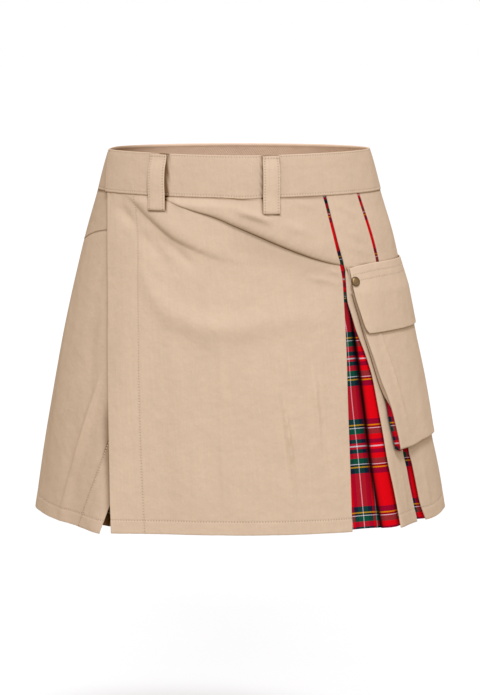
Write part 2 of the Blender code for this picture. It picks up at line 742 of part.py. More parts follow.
def make_snap(surface):
    """The press stud's cap on the flap: a turned dome, its axis square to the cloth."""

    def on_flap(bearing, drop):
        return np.array(place(bearing, drop, flap_out(bearing, drop) + TWILL + SNAP_SEAT))

    centre = on_flap(SNAP_BEARING, SNAP_DROP)
    beside = on_flap(SNAP_BEARING + 1, SNAP_DROP) - on_flap(SNAP_BEARING - 1, SNAP_DROP)
    under = on_flap(SNAP_BEARING, SNAP_DROP + 3) - on_flap(SNAP_BEARING, SNAP_DROP - 3)
    axis = np.cross(under, beside)
    axis /= np.linalg.norm(axis)
    beside /= np.linalg.norm(beside)
    third = np.cross(axis, beside)
    points = []
    for turn in SNAP_PROFILE:
        for side in range(SNAP_SIDES):
            angle = 2 * math.pi * side / SNAP_SIDES
            spoke = beside * math.cos(angle) + third * math.sin(angle)
            points.append(tuple(centre + MM * (spoke * turn.radius + axis * turn.height)))
    faces = [tuple(reversed(range(SNAP_SIDES)))]
    for level_number in range(len(SNAP_PROFILE) - 1):
        for side in range(SNAP_SIDES):
            here = level_number * SNAP_SIDES + side
            after = level_number * SNAP_SIDES + (side + 1) % SNAP_SIDES
            faces.append((here, after, after + SNAP_SIDES, here + SNAP_SIDES))
    last = (len(SNAP_PROFILE) - 1) * SNAP_SIDES
    faces.append(tuple(range(last, last + SNAP_SIDES)))
    make_object("snap_cap", points, faces, surface)


def main():
    for old in list(bpy.data.objects):
        bpy.data.objects.remove(old)
    twill = material("twill", TAN, 0.85)
    twill_shade = material("twill_shade", TAN_SHADE, 0.85)
    tartan = material("tartan", TARTAN_RED, 0.85)
    brass = material("brass", BRASS, 0.4, 0.9)
    make_waistband(twill)
    make_front_apron(twill)
    make_under_apron(twill_shade)
    make_right_side(twill)
    make_pleat_faces(twill)
    make_front_inset(tartan)
    make_insets(tartan)
    make_belt_loops(twill)
    make_pocket_front(twill)
    make_pocket_gusset(tartan)
    make_pocket_flap(twill)
    make_snap(brass)


main()
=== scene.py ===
"""The looks of a wrap kilt of cotton twill with tartan insets: its cloth, seams, stitches and finishes.

Lengths are in millimetres and bearings in degrees until `place` turns them into metres. A bearing is
0 at the front centre (-Y) and grows toward +X, the wearer's left. A drop is measured down from the
waist, and an out is measured outward from the worn form, which the twill's inner face follows.
"""

import functools
import math
from collections import namedtuple

import bpy
import numpy as np
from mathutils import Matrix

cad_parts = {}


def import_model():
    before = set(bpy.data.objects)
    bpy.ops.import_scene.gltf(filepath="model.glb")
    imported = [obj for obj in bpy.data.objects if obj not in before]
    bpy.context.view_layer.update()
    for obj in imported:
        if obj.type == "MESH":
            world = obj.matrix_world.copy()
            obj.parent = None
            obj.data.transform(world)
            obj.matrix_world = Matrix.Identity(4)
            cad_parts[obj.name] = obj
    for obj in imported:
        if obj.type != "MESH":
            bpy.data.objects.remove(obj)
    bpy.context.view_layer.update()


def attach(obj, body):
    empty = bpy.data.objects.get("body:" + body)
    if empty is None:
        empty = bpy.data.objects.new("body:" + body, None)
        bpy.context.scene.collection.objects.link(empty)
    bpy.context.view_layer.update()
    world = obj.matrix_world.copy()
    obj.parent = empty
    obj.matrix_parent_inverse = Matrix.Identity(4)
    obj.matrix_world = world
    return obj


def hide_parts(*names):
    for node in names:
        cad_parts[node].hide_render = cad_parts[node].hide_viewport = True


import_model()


# ---------------------------------------------------------------- tables
def curve(keys, values, at):
    """The value at a place, on a smooth curve through the values at the keys."""
    low = np.maximum(np.arange(len(keys)) - 1, 0)
    high = np.minimum(np.arange(len(keys)) + 1, len(keys) - 1)
    slopes = (values[high] - values[low]) / (keys[high] - keys[low])
    at = np.clip(at, keys[0], keys[-1])
    i = np.clip(np.searchsorted(keys, at, side="right") - 1, 0, len(keys) - 2)
    span = keys[i + 1] - keys[i]
    t = (at - keys[i]) / span
    return (
        values[i] * (2 * t**3 - 3 * t**2 + 1)
        + slopes[i] * span * (t**3 - 2 * t**2 + t)
        + values[i + 1] * (3 * t**2 - 2 * t**3)
        + slopes[i + 1] * span * (t**3 - t**2)
    )


class Table:
    """Rows of numbers under named columns. Each further column is a function of the first one."""

    def __init__(self, columns, *rows):
        keys, *others = np.array(rows, float).T
        for name, values in zip(columns.split()[1:], others):
            setattr(self, name, functools.partial(curve, keys, values))


Edge = functools.partial(Table, "drop bearing")         # it runs down the kilt
Level = functools.partial(Table, "bearing drop")        # it runs round the kilt
Fold = functools.partial(Table, "bearing drop height")

MM = 0.001

# Driving sizes, as the solids have them
HEM = 400.0
BAND_WIDTH = 45.0
BAND_WALL = 3.0
WAIST_DIP = 2.8
BAND_SAG = 1.2                  # of the band's lower edge beside the second loop
BAND_SAG_AT = 1.0
BAND_SAG_REACH = 9.0
BAND_LINE_PAINTED_SHADE = 0.60           # painted shade on the line where cloth goes up into the band
BAND_LINE_REACH = 0.8
TWILL = 1.5
TARTAN = 1.2
SEAM = 0.3
LAYER = 0.8
ORIGIN_DROP = BAND_WIDTH / 2
BAND_OVER_END = -80.0
BAND_END_LEAN = 6.5
BAND_TUCK_START = 200.0
BAND_TUCKED = 274.0
BAND_UNDER_END = 380.0
BAND_UNDER_LOWER = 1.6
BAND_CORNER = (222.0, 262.0)    # bearings over which painted shade darkens the inside, where the wrap closes
BAND_CORNER_PAINTED_SHADE = 0.55
RIGHT_OUT = -0.9 - TWILL
BACK_LEFT = 108.0
BACK_RIGHT = 222.0
BACK_PLEATS = 6
GAP_WAIST = 2.5
GAP_HEM = 14.0
PLEAT_LIFT = 5.0
INSET_LAP = 7.0
INSET_FOLD = 9.0
TARTAN_LOWER = 0.8

# Sewing
HEM_DEPTH = 14.0                # from the hem up to its row of stitches
HEM_PLY = 0.16                  # how much thicker the turned-up hem is
TUCK = 3.0                      # how far a panel goes up into the band, or under its neighbour
EDGE_ROUND = 1.1                # reach of a folded edge's rounding
TURNED_REACH = 1.3              # over which a turned-in side edge bends
EDGE_STEPS = (0.2, 0.6, 1.2)    # closer points beside an edge or a row of stitches
STITCH_PITCH = 3.0
STITCH_LENGTH = 2.3
STITCH_RADIUS = 0.30
SEW_REACH = 0.75                # of the groove that a row of stitches presses in, and of the painted shade in it
SEW_DEPTH = 0.25
# painted shade along a row of stitches
SEW_PAINTED_SHADE = 0.05
HOLE_PAINTED_SHADE = 0.45                # painted shade in the needle holes between the stitches

RINGS = Table("drop right left front back",
    (0, 145.3, 140.0, 98.0, 96.0), (46, 157.8, 152.8, 107.5, 106.0), (100, 172.9, 168.7, 122.0, 124.0),
    (200, 195.9, 188.8, 142.0, 147.0), (300, 214.4, 208.5, 156.0, 160.0), (400, 230.1, 226.8, 167.0, 170.0),
)
# How the hem swings out: bearing, spread, out
SWINGS = [(-46, 10, 16), (54, 5.5, 9), (67, 6, -4)]

# Edges and seams that run down the kilt
APRON_RIGHT_EDGE = Edge(
    (43, -72.8), (84, -66.1), (138, -60.0), (190, -55.4), (266, -49.9), (327, -46.1), (373, -43.9),
    (402, -42.6),
)
APRON_LEFT_EDGE = Edge(
    (46, 45.0), (70, 45.2), (93, 45.4), (107, 45.75), (120, 46.75), (134, 47.0), (146, 46.6), (167, 45.8),
    (218, 44.0), (262, 42.7), (330, 41.4), (401, 40.2),
)
FACING_SEAM = Edge(
    (49, -55.6), (67, -53.0), (104, -48.1), (187, -42.0), (234, -39.6), (292, -37.3), (366, -34.5),
    (402, -33.2),
)
FACE_FRONT_EDGE = Edge(
    (46, 46.8), (93, 47.6), (107, 48.15), (119, 48.65), (136, 48.35), (146, 48.0), (155, 47.7), (162, 47.8),
    (170, 48.3), (179, 48.8), (189, 49.3), (202, 50.4), (214, 51.4), (226, 52.2), (238, 52.8), (250, 53.1),
    (300, 53.7), (330, 53.9), (360, 54.6), (400, 55.1),
)
FACE_BACK_EDGE = Edge(
    (44, 63.9), (80, 64.8), (120, 65.6), (200, 65.4), (324, 63.2), (341, 64.1), (362, 64.8), (383, 65.8),
    (400, 66.6),
)
SIDE_LEFT_EDGE = Edge(
    (44, 65.5), (80, 66.6), (120, 67.4), (200, 67.2), (323, 66.7), (341, 67.6), (362, 68.3), (383, 69.0),
    (401, 70.5),
)
TARTAN_FOLD = Edge(
    (46, 47.8), (100, 48.8), (146, 48.4), (162, 48.0), (175, 48.5), (191, 49.1), (214, 49.7), (255, 49.8),
    (296, 49.9), (327, 49.9), (349, 50.1), (379, 50.6), (400, 50.9),
)
TARTAN_WHITE = Edge(
    (46, 56.0), (64, 57.0), (78, 60.5), (99, 61.0), (105, 57.0), (118, 57.2), (123, 59.0), (143, 59.0),
    (148, 56.4), (152, 50.0), (158, 45.4), (172, 45.4), (200, 46.3), (262, 45.5), (333, 45.9), (400, 46.0),
)
FELLED_SEAM = Edge(
    (44, -29.0), (150, -36.5), (250, -43.6), (303, -48.1), (340, -51.0), (376, -54.7), (402, -57.0),
)
STRIP_EDGE = Edge(
    (44, -8.0), (150, -19.0), (250, -31.0), (340, -41.3), (373, -44.4), (388, -45.4), (404, -46.5),
)
UNDER_APRON_RIGHT_EDGE = Edge((44, -40.0), (200, -52.0), (402, -62.0))
UNDER_APRON_LEFT_EDGE = Edge((44, 25.0), (402, 22.0))
UNDER_HANG_RIGHT = -20.5
UNDER_HANG_LEFT = -9.0
UNDER_SHORTER = 1.6
# painted shade on the under-apron, deep behind the over-apron near the hem
UNDER_PAINTED_SHADE = 0.95
UNDER_PAINTED_LIGHT = 0.62                # how much painted light lessens that shade beside the over-apron's edge, near the hem
UNDER_EDGE_SEEN = 9.0           # where that edge comes before it, seen from the front
UNDER_SHADE_REACH = 38.0        # of the painted shade under the over-apron's right edge, near the hem
POCKET_FRONT_EDGE = Edge(
    (150, 49.6), (163, 50.2), (176, 50.9), (194, 51.7), (216, 53.0), (246, 54.8), (258, 55.9), (274, 57.0),
    (290, 57.6), (307, 58.2), (318, 58.4),
)
FLAP_FRONT_EDGE = Edge(
    (120, 50.3), (130, 50.0), (138, 49.7), (148, 49.3), (158, 49.6), (170, 50.3), (188, 51.4), (193, 52.6),
)

# Edges and seams that run round the kilt
YOKE_SEAM = Level(
    (-138, 131), (-120, 122), (-105, 111), (-95, 104), (-85, 97), (-75, 88.8), (-67, 85), (-55, 82),
    (-28, 80),
)
APRON_HEM = Level((-42, 402.0), (-20, 401), (0, 401), (20, 401), (41, 401.8))
STRIP_HEM = Level((-60, 401), (-57, 401.2), (-50, 402.8), (-45.8, 404))
RIGHT_HEM = Level((-138, 400), (-100, 398), (-82, 397), (-70, 399), (-57, 401.2))
LEFT_HEM = Level((53, 401.2), (66, 401.4), (74, 401), (85, 398.6), (110, 400))
FLAP_TOP = Level((46.9, 126.2), (50.4, 123.8), (54.3, 121.6), (65.4, 119.4), (104, 118.5))
FLAP_BOTTOM = Level((46.9, 192.0), (53, 192.8), (65, 192.5), (104, 190.5))
POCKET_BOTTOM = Level((47, 318.5), (57.4, 318.5), (66.6, 318.0), (74, 314.5), (104, 312))

# Drape folds of the over-apron: their line, and the height of the cloth's bulge above it
MAIN_FOLD = Fold(
    (-52, 38, 0.0), (-44, 46, 0.6), (-37, 52, 1.3), (-26, 60.3, 2.9), (-13, 68, 4.5), (-2.5, 77, 5.2),
    (7.6, 86, 5.4), (17.3, 95.4, 5.2), (26.6, 104.4, 4.6), (36.5, 113.2, 3.6), (45, 119, 2.4),
    (54, 122, 0.0),
)
SECOND_FOLD = Fold(
    (-64, 44, 0.0), (-57.2, 52, 2.2), (-43.3, 74.6, 3.7), (-32.4, 91.5, 4.0), (-18.3, 105.6, 2.4),
    (-5.9, 114.2, 0.9), (6, 119, 0.0),
)
FOLD_REACH = 13.0
FOLD_GROOVE = 0.10
FOLD_SEAM_FADE = 10.0
FOLD_SEAM_SHARE = 0.35
MAIN_CREST = 0.42               # below 1, the bulge drops more steeply to its line
SECOND_CREST = 0.8

# Painted shade along the drape folds: a line at each fold and a soft shade under its bulge
FoldShade = namedtuple("FoldShade", "rows line soft lift reach")
FOLD_SHADES = [FoldShade(MAIN_FOLD, 0.18, 0.014, 1.6, 3.2), FoldShade(SECOND_FOLD, 0.02, 0.030, -0.5, 4.0)]
SWAG = Fold(
    (-47, 112, 0.0), (-43, 132, 1.2), (-37, 153, 2.1), (-29, 170, 2.8), (-19.4, 180, 3.2), (-10, 184, 3.2),
    (-0.6, 183, 2.8), (11, 179, 2.2), (22, 176, 1.7), (33, 173, 1.2), (43, 169, 0.0),
)
SWAG_REACH = 14.0

# Soft creases: each a ridge or trough from one place to another, in the columns
# from bearing and drop, to bearing and drop, bow, width, height
APRON_CREASES = [
    (-65, 58, -50.5, 84, 1, 5.5, -1.8), (-54, 82, -31, 134, 6, 7, -1.5), (-44, 88, -20, 128, 4, 5, -1.3),
    (-38, 50, -27, 66, 2, 4, 1.2), (15.6, 232, 20.6, 368, 1, 2.4, 2.9), (29.5, 222, 30.3, 312, 0, 2.3, 2.3),
    (-8.7, 184, -7.5, 280, 0, 3.5, 0.7), (-7.1, 298, -6.3, 378, 0, 3.5, 0.7),
    (40.5, 124, 46, 131, 0, 2.2, 0.9), (30, 132, 46, 142, 1, 3.5, 1.1), (26, 52, 40, 60, 0, 3, 0.9),
    (19, 74, 36, 90, 1, 5.5, 1.4), (-3, 61, 17, 74.5, 1, 4.2, 3.3), (-30, 190, -24, 290, 3, 9, 0.8),
    (6, 150, 9, 240, -2, 8, -0.7), (-18, 300, -16, 392, 1, 8, 0.7), (34, 300, 36, 392, 1, 6, 0.7),
]
RIGHT_CREASES = [
    (-55.0, 226, -67.0, 408, 0, 4.6, 4.2), (-66, 180, -60, 280, 3, 9, -1.0),
    (-63, 130, -59, 220, 0, 6, 0.8), (-84, 150, -80, 300, 3, 9, 0.9), (-100, 190, -104, 392, 3, 10, 1.2),
    (-118, 170, -112, 360, -3, 9, 1.0), (-92, 330, -95, 396, 1, 6, 0.7), (-128, 240, -131, 392, 2, 8, 0.9),
]
LEFT_CREASES = [
    (49, 56, 60, 72, 2, 4, 0.8), (57, 150, 59, 300, 2, 5, 0.5), (50.5, 84, 60, 96, 1, 4, 0.7),
    (51, 102, 63, 112, 1, 3.5, 0.6), (82, 60, 79, 112, 2, 7, 0.6), (72, 330, 73, 396, 1, 4.5, 1.2),
    (60, 332, 60.8, 397, 0, 3.2, 0.7), (56.8, 300, 57.6, 392, -1, 3, -0.5), (88, 322, 90, 394, 1, 7, 0.8),
    (98, 300, 101, 392, -2, 6, 0.9),
]
POCKET_CREASES = [
    (57.4, 186, 64.9, 304, 0, 2.8, 2.8), (72, 200, 76, 300, 2, 8, 0.6), (88, 210, 86, 305, 1, 8, 0.7),
]
FLAP_CREASES = [(57, 150, 60, 190, 1, 7, 0.5), (80, 140, 84, 188, 1, 9, 0.6)]
# Beside the flap's upper corner, a crease with painted shade in it
FLAP_NOTCH = [(48.8, 120.0, 49.8, 136.0, 0.4, 1.1, 1.0)]
FLAP_NOTCH_DEEP = 0.9
FLAP_NOTCH_PAINTED_SHADE = 0.72
BACK_CREASES = [
    (116, 250, 118, 390, 1, 8, 0.9), (136, 120, 139, 300, 2, 9, 0.8), (152, 210, 150, 385, -2, 7, 1.0),
    (168, 90, 171, 240, 2, 8, 0.7), (186, 180, 189, 392, 2, 9, 1.0), (204, 130, 201, 330, -2, 8, 0.8),
    (216, 250, 218, 392, 1, 7, 0.9),
]

# The cargo pocket
POCKET_BACK_EDGE = 102.0
POCKET_TOP = 150.0
POCKET_STANDS = Table("bearing top bottom",
    (47, 4.2, 8.0), (57, 4.2, 8.4), (66, 4.0, 7.2), (80, 3.6, 4.6), (95, 3.0, 3.6), (102, 2.3, 2.3),
    (106, 2.3, 2.3),
)
FLANGE_LEAST = 0.8
FLANGE_ROUND = 1.3
FLANGE_ENDS = (256.0, 276.0)
GUSSET_TOP = 200.0
POCKET_LOW = 318.5              # drop of the pocket's lower front corner
FLAP_FRONT = 46.9               # bearing where the flap begins
FLAP_LOW = 192.8                # drop of its lower edge there
GUSSET_OUT_FROM = 250.0
GUSSET_OUT_TO = 285.0
GUSSET_BULGE = 6.6
GUSSET_INSET = 1.2
GUSSET_THREAD = 18.5            # where its first edge lies along the sett
GUSSET_HIDDEN = 2.8
GUSSET_CORNER = 5.0
FLAP_SEWN_OUT = TWILL + LAYER
FLAP_CORNER = 3.6

# Belt loops
Loop = namedtuple("Loop", "number top bottom width left right end")
BELT_LOOPS = [
    Loop(1, -46.6, -41.9, 18.8, 0.25, 0.75, 61.5), Loop(2, 18.3, 16.2, 17.2, 0.55, 0.45, 64.4),
    Loop(3, 124, 124, 18.0, 0.25, 0.35, 61.5), Loop(4, 171, 171, 18.0, 0.25, 0.35, 61.5),
    Loop(5, 219, 219, 18.0, 0.25, 0.35, 61.5),
]                               # left and right are the painted shade on the cloth beside a loop
LOOP_SHADE_REACH = 1.3
LOOP_END_PAINTED_SHADE = 0.80            # painted shade just below a loop's end
LOOP_END_REACH = 1.1
LOOP_TURNED_PAINTED_SHADE = 0.20         # painted shade on a loop's own turned-in end
LOOP_TURNED_REACH = 2.4
LOOP_TOP = 1.0
LOOP_BOTTOM = 61.5
LOOP_WALL = 1.6
LOOP_SEWN_FROM = 38.0
LOOP_SEWN_TO = 59.0
LOOP_BOW = Table("drop out", (0, 0.4), (8, 0.8), (18, 3.0), (32, 3.8), (43, 3.2))
LOOP_END_OUT = 0.5

# Press stud on the flap: its turned profile
SNAP_BEARING = 50.6
SNAP_DROP = 137.5
SNAP_SEAT = 0.35
SNAP_SIDES = 48
Turn = namedtuple("Turn", "radius height")
SNAP_PROFILE = [
    Turn(4.3, -0.3), Turn(5.1, 0.0), Turn(5.35, 0.45), Turn(5.3, 0.85), Turn(5.0, 1.1), Turn(4.8, 1.12),
    Turn(4.65, 1.3), Turn(4.2, 1.75), Turn(3.4, 2.15), Turn(2.4, 2.42), Turn(1.2, 2.56), Turn(0.0, 2.6),
]

# The tartan's charts: half a sett, in threads, from the middle of a white line to the middle of the red
RED, NAVY, GREEN, BLACK, WHITE, YELLOW = "red", "navy", "green", "black", "white", "yellow"
WEFT_CHART = [
    (1.3, WHITE), (4.7, RED), (9, NAVY), (11, RED), (11, GREEN), (1, BLACK), (2, WHITE), (4, BLACK),
    (3, YELLOW), (12, NAVY), (36, RED),
]
WARP_CHART = [
    (0.85, WHITE), (11.15, GREEN), (10, NAVY), (5, RED), (1.5, GREEN), (1, WHITE), (11.5, GREEN),
    (13, NAVY), (41, RED),
]
WARP_SHARE = 0.42
WEAVE_SHARE = 0.14
DYES = {
    RED: (0.745, 0.0010, 0.020), NAVY: (0.006, 0.014, 0.034), GREEN: (0.003, 0.075, 0.040),
    BLACK: (0.003, 0.005, 0.006), WHITE: (0.80, 0.80, 0.84), YELLOW: (0.76, 0.42, 0.008),
}
HALF_SETT = 47.1
WALE_PITCH = 0.95               # of the twill
SETT_WHITE_DROP = 219.7         # drop of a white line of the chart's middle
# How much lower the sett lies in the slits
SLIT_SHIFTS = Table("drop lower",
    (60, 14), (96, 10), (106, 7.5), (118, 6.5), (134, 8.3), (147, 9.5), (159, 4.3), (168, 1), (200, 0),
)

# Colours, linear RGB
TAN = (0.690, 0.518, 0.374)
TAN_INSIDE = (0.640, 0.462, 0.320)
# painted light: the band's inside is a lighter tan than the outside, so that it looks lit
TAN_BAND_INSIDE_PAINTED_LIGHT = (0.900, 0.665, 0.480)
THREAD = (0.760, 0.590, 0.440)
SHADE_WARMTH = (0.90, 1.0, 1.10)                # how much of each colour goes in the painted shade of seams and folds
DEEP_LEFT = 0.25                                # of the light that is left where the painted shade is deepest
# the painted shade deepens faster between these two values, and goes no further than the next
DEEP_FROM = 0.78
DEEP_TO = 0.95
DARK_MOST = 0.96
BRASS_BRIGHT = (0.44, 0.285, 0.135)
BRASS_DARK = (0.055, 0.034, 0.018)

# Camera and stage
CAMERA_AWAY = 3.2
CAMERA_ABOVE_WAIST = 0.173
CAMERA_PITCH = 7.02
FOCAL_PIXELS = 2910.0
PHOTO_HEIGHT = 695
SENSOR = 36.0
AROUND_COLOUR = (1.04, 0.955, 0.82)             # of the light from all around, which fills the shade
AROUND_STRENGTH = 0.52
SUN_COLOUR = (0.97, 1.035, 1.19)
FLOOR_DEPTH = 0.70
FLOOR_SIZE = 60.0


# ---------------------------------------------------------------- rules along tables
def bell(at, power=2):
    """1 at 0, and less on both sides of it."""
    return np.exp(-(at**power))


def mix(low, high, share):
    """The value that lies at a share of the way from low to high."""
    return low + (high - low) * share


def ease(low, high, at):
    """0 up to low and 1 from high on, with a smooth step between."""
    t = np.clip((at - low) / (high - low), 0.0, 1.0)
    return t * t * (3 - 2 * t)


def level(value):
    """The function that gives the same value everywhere."""
    return lambda *where: value


def raised(line, by):
    """A level that lies higher than another."""
    return lambda bearing: line(bearing) - by


# ---------------------------------------------------------------- the worn form
def form_radius(bearing, drop):
    """The distance of the worn form from the middle line."""
    bearing = (bearing + 180.0) % 360.0 - 180.0
    sine, cosine = np.sin(np.radians(bearing)), np.cos(np.radians(bearing))
    half_width = np.where(sine > 0, RINGS.left(drop), RINGS.right(drop))
    depth = np.where(cosine > 0, RINGS.front(drop), RINGS.back(drop))
    radius = 1 / np.hypot(sine / half_width, cosine / depth)
    growth = (np.maximum(drop, 0.0) / HEM) ** 2
    for middle, spread, out in SWINGS:
        radius = radius + out * growth * bell((bearing - middle) / spread)
    return radius


def place(bearing, drop, out):
    """The points at bearings, drops and outs, in metres."""
    radius = form_radius(bearing, drop) + out
    turn = np.radians(bearing)
    points = np.broadcast_arrays(radius * np.sin(turn), -radius * np.cos(turn), ORIGIN_DROP - drop)
    return MM * np.stack(points, axis=-1)


TABLE_BEARINGS = np.arange(-190.0, 401.0, 2.0)
TABLE_DROPS = np.arange(-10.0, 421.0, 5.0)


@functools.lru_cache(maxsize=1)
def ring_table():
    """The length of each ring up to each bearing, for a table of drops and bearings."""
    bearings, drops = np.meshgrid(TABLE_BEARINGS, TABLE_DROPS)
    points = place(bearings, drops, 0.0) / MM
    steps = np.linalg.norm(np.diff(points, axis=1), axis=2)
    return np.concatenate([np.zeros((len(TABLE_DROPS), 1)), np.cumsum(steps, axis=1)], axis=1)


def ring_length(bearing, drop):
    """The length of the ring up to a bearing."""
    table = ring_table()
    i = np.clip((drop - TABLE_DROPS[0]) / 5.0, 0, len(TABLE_DROPS) - 1.001)
    j = np.clip((bearing - TABLE_BEARINGS[0]) / 2.0, 0, len(TABLE_BEARINGS) - 1.001)
    a, b = np.asarray(i).astype(int), np.asarray(j).astype(int)
    s, t = i - a, j - b
    upper = table[a, b] * (1 - t) + table[a, b + 1] * t
    lower = table[a + 1, b] * (1 - t) + table[a + 1, b + 1] * t
    return upper * (1 - s) + lower * s


def walk(bearing, distance, drop):
    """The bearing reached after a distance round the form."""
    target = ring_length(bearing, drop) + distance
    reached = bearing + 0.0
    for _ in range(6):
        rate = (ring_length(reached + 1, drop) - ring_length(reached - 1, drop)) / 2
        reached = reached + (target - ring_length(reached, drop)) / rate
    return reached


def waist_dip(bearing):
    """How much lower the waist lies than at the sides."""
    return WAIST_DIP * np.maximum(np.cos(np.radians(bearing)), 0.0) ** 2


def band_bottom(bearing):
    """The drop of the waistband's lower edge."""
    return BAND_WIDTH + waist_dip(bearing) + BAND_SAG * bell((bearing - BAND_SAG_AT) / BAND_SAG_REACH)


def below_band(bearing, drop):
    """How far a place lies below the waistband's lower edge."""
    return np.maximum(drop - band_bottom(bearing), 0.0)


def panel_top(bearing):
    """The drop where the panels end inside the band."""
    return band_bottom(bearing) - TUCK


# ---------------------------------------------------------------- unevenness of the cloth
# degrees, length, phase, height
WAVES = [(41.0, 520.0, 0.4, 0.55), (17.3, 300.0, 2.1, 0.30), (9.1, 190.0, 4.4, 0.16)]


def sway(bearing, drop):
    """The slow unevenness that all layers share, none at the band and most at the hem."""
    total = 0.0
    for degrees, length, phase, height in WAVES:
        lean = np.sin(2 * np.pi * drop / length + phase)
        total = total + height * np.sin(2 * np.pi * bearing / degrees + phase + 1.6 * lean)
    return total * ease(40.0, 330.0, drop)


def creased(creases, bearing, drop):
    """The sum of a table's creases, each a soft ridge or trough that fades at both ends."""
    total = np.zeros(np.shape(bearing))
    for from_bearing, from_drop, to_bearing, to_drop, bow, width, height in creases:
        rate = form_radius((from_bearing + to_bearing) / 2, (from_drop + to_drop) / 2) * math.pi / 180
        run = (to_bearing - from_bearing) * rate
        fall = to_drop - from_drop
        length = np.hypot(run, fall)
        x = (bearing - from_bearing) * rate
        y = drop - from_drop
        along = (x * run + y * fall) / length**2
        side = (x * fall - y * run) / length - bow * 4 * along * (1 - along)
        fade = np.clip(1 - (2 * along - 1) ** 2, 0.0, 1.0) ** 1.2
        total += height * fade * (bell(side / width) + 0.5 * (side / width) * bell(side / width))
    return total


def fold_relief(fold, crest, bearing, drop):
    """The bulge over a fold's line and the shallow trough under it."""
    above = (fold.drop(bearing) - drop) / FOLD_REACH
    high, low = np.maximum(above, 0.0), np.minimum(above, 0.0)
    bulge = (high * np.exp(1 - high)) ** crest
    return fold.height(bearing) * (bulge + FOLD_GROOVE * low * np.exp(1 + low))


def apron_out(bearing, drop):
    """The over-apron's drape folds, which fade into the band's seam, and the soft swag under them."""
    relief = fold_relief(MAIN_FOLD, MAIN_CREST, bearing, drop)
    relief = relief + fold_relief(SECOND_FOLD, SECOND_CREST, bearing, drop)
    relief = relief + SWAG.height(bearing) * bell((drop - SWAG.drop(bearing)) / SWAG_REACH)
    below = drop - band_bottom(bearing)
    return relief * mix(FOLD_SEAM_SHARE, 1.0, ease(0.0, FOLD_SEAM_FADE, below)) * ease(-2.5, 0.5, below)


def before(line, bearing, drop):
    """How far a place lies before a line that runs down."""
    return ring_length(line(drop), drop) - ring_length(bearing, drop)


def beside(line, bearing, drop, reach):
    """How near a place lies before a line that runs down."""
    gap = before(line, bearing, drop)
    return np.exp(-np.maximum(gap, 0.0) / reach) * (gap > -2.0)


def under_band(bearing, drop):
    """The painted shade along the line where cloth goes up into the waistband."""
    return BAND_LINE_PAINTED_SHADE * bell(below_band(bearing, drop) / BAND_LINE_REACH)


def beside_loops(bearing, drop):
    """The painted shade on the cloth round the belt loops."""
    shade = 0.0
    for _, top, bottom, width, shade_left, shade_right, end in BELT_LOOPS:
        right = -before(lambda drop: mix(top, bottom, drop / LOOP_BOTTOM), bearing, drop)
        gap = np.hypot(np.maximum(np.abs(right) - width / 2, 0.0), np.maximum(drop - end, 0.0))
        side = np.where(right < 0, shade_left, shade_right) * bell(gap / LOOP_SHADE_REACH)
        under = LOOP_END_PAINTED_SHADE * bell(gap / LOOP_END_REACH) * (drop - end > -1.0)
        shade = shade + np.maximum(side, under)
    return shade


def puckered(near, along, height=0.22, reach=5.0, wave=11.0):
    """Small puckers beside a seam, uneven along it."""
    uneven = np.sin(2 * np.pi * along / wave + 1.7 * np.sin(2 * np.pi * along / 47.0))
    return height * np.exp(-near / reach) * uneven * (1 - np.exp(-near / 1.2))


# ---------------------------------------------------------------- grids and shells
def between(values, knots):
    """The value at each knot: its whole part counts the values before it, its rest the way to the next."""
    shape = np.broadcast_shapes(np.shape(knots), *(np.shape(value) for value in values))
    stack = np.stack([np.broadcast_to(value, shape) for value in values]).astype(float)
    knots = np.broadcast_to(knots, shape)
    low = np.clip(knots.astype(int), 0, len(values) - 2)
    share = knots - low
    before = np.take_along_axis(stack, low[None], 0)[0]
    after = np.take_along_axis(stack, low[None] + 1, 0)[0]
    return before * (1 - share) + after * share


def knots(step, *sizes):
    """Knots across blocks of these sizes in millimetres, a step apart, with closer ones beside each line."""
    made = []
    for block, size in enumerate(sizes):
        count = max(1, round(size / step))
        places = {i / count for i in range(count)}
        for near in EDGE_STEPS:
            if near < size / 2:
                places |= {near / size, 1 - near / size}
        made += [block + share for share in sorted(places)]
    return np.array(made + [float(len(sizes))])


def nearest(knots, knot):
    """The index of the knot that lies nearest."""
    return int(np.argmin(np.abs(knots - knot)))


def lengths(points, axis):
    """The length along an axis of a grid of points, in millimetres."""
    steps = np.linalg.norm(np.diff(points, axis=axis), axis=2) / MM
    start = np.zeros_like(np.take(steps, [0], axis=axis))
    return np.concatenate([start, np.cumsum(steps, axis=axis)], axis=axis)


Near = namedtuple("Near", "left right top bottom share")
Cloth = namedtuple("Cloth", "bearing drop outer inner normal near columns rows dark row_seam column_seam")


def lay_cloth(lines, levels, columns, rows, base, thickness, relief=None, **finish):
    """A wall of cloth between lines that run down and levels that run round.

    base is the inner face's out, or gives it from where a point lies, and relief adds to both faces.
    """
    columns_at = columns[None, :]
    rows_at = rows[:, None]
    drop = between([line(0.0) for line in levels], rows_at) + 0.0 * columns_at
    for _ in range(5):
        bearing = between([line(drop) for line in lines], columns_at)
        drop = between([line(bearing) for line in levels], rows_at)
    share = columns_at / columns_at[0, -1] + 0.0 * drop
    low = (base(bearing, drop, share) if callable(base) else base) + 0.0 * drop
    return close_cloth(bearing, drop, low, share, columns, rows, thickness, relief, **finish)


def normals(points):
    """The directions square to a grid of points, outward."""
    square = np.cross(np.gradient(points, axis=0), np.gradient(points, axis=1))
    return square / (np.linalg.norm(square, axis=2, keepdims=True) + 1e-12)


def seam_nearness(run, knots, sewn, axis):
    """How near each point lies to the rows or columns with stitches."""
    nearness = 0.0 * run
    for knot in sewn:
        nearness = np.maximum(nearness, bell((run - np.take(run, [nearest(knots, knot)], axis)) / SEW_REACH))
    return nearness


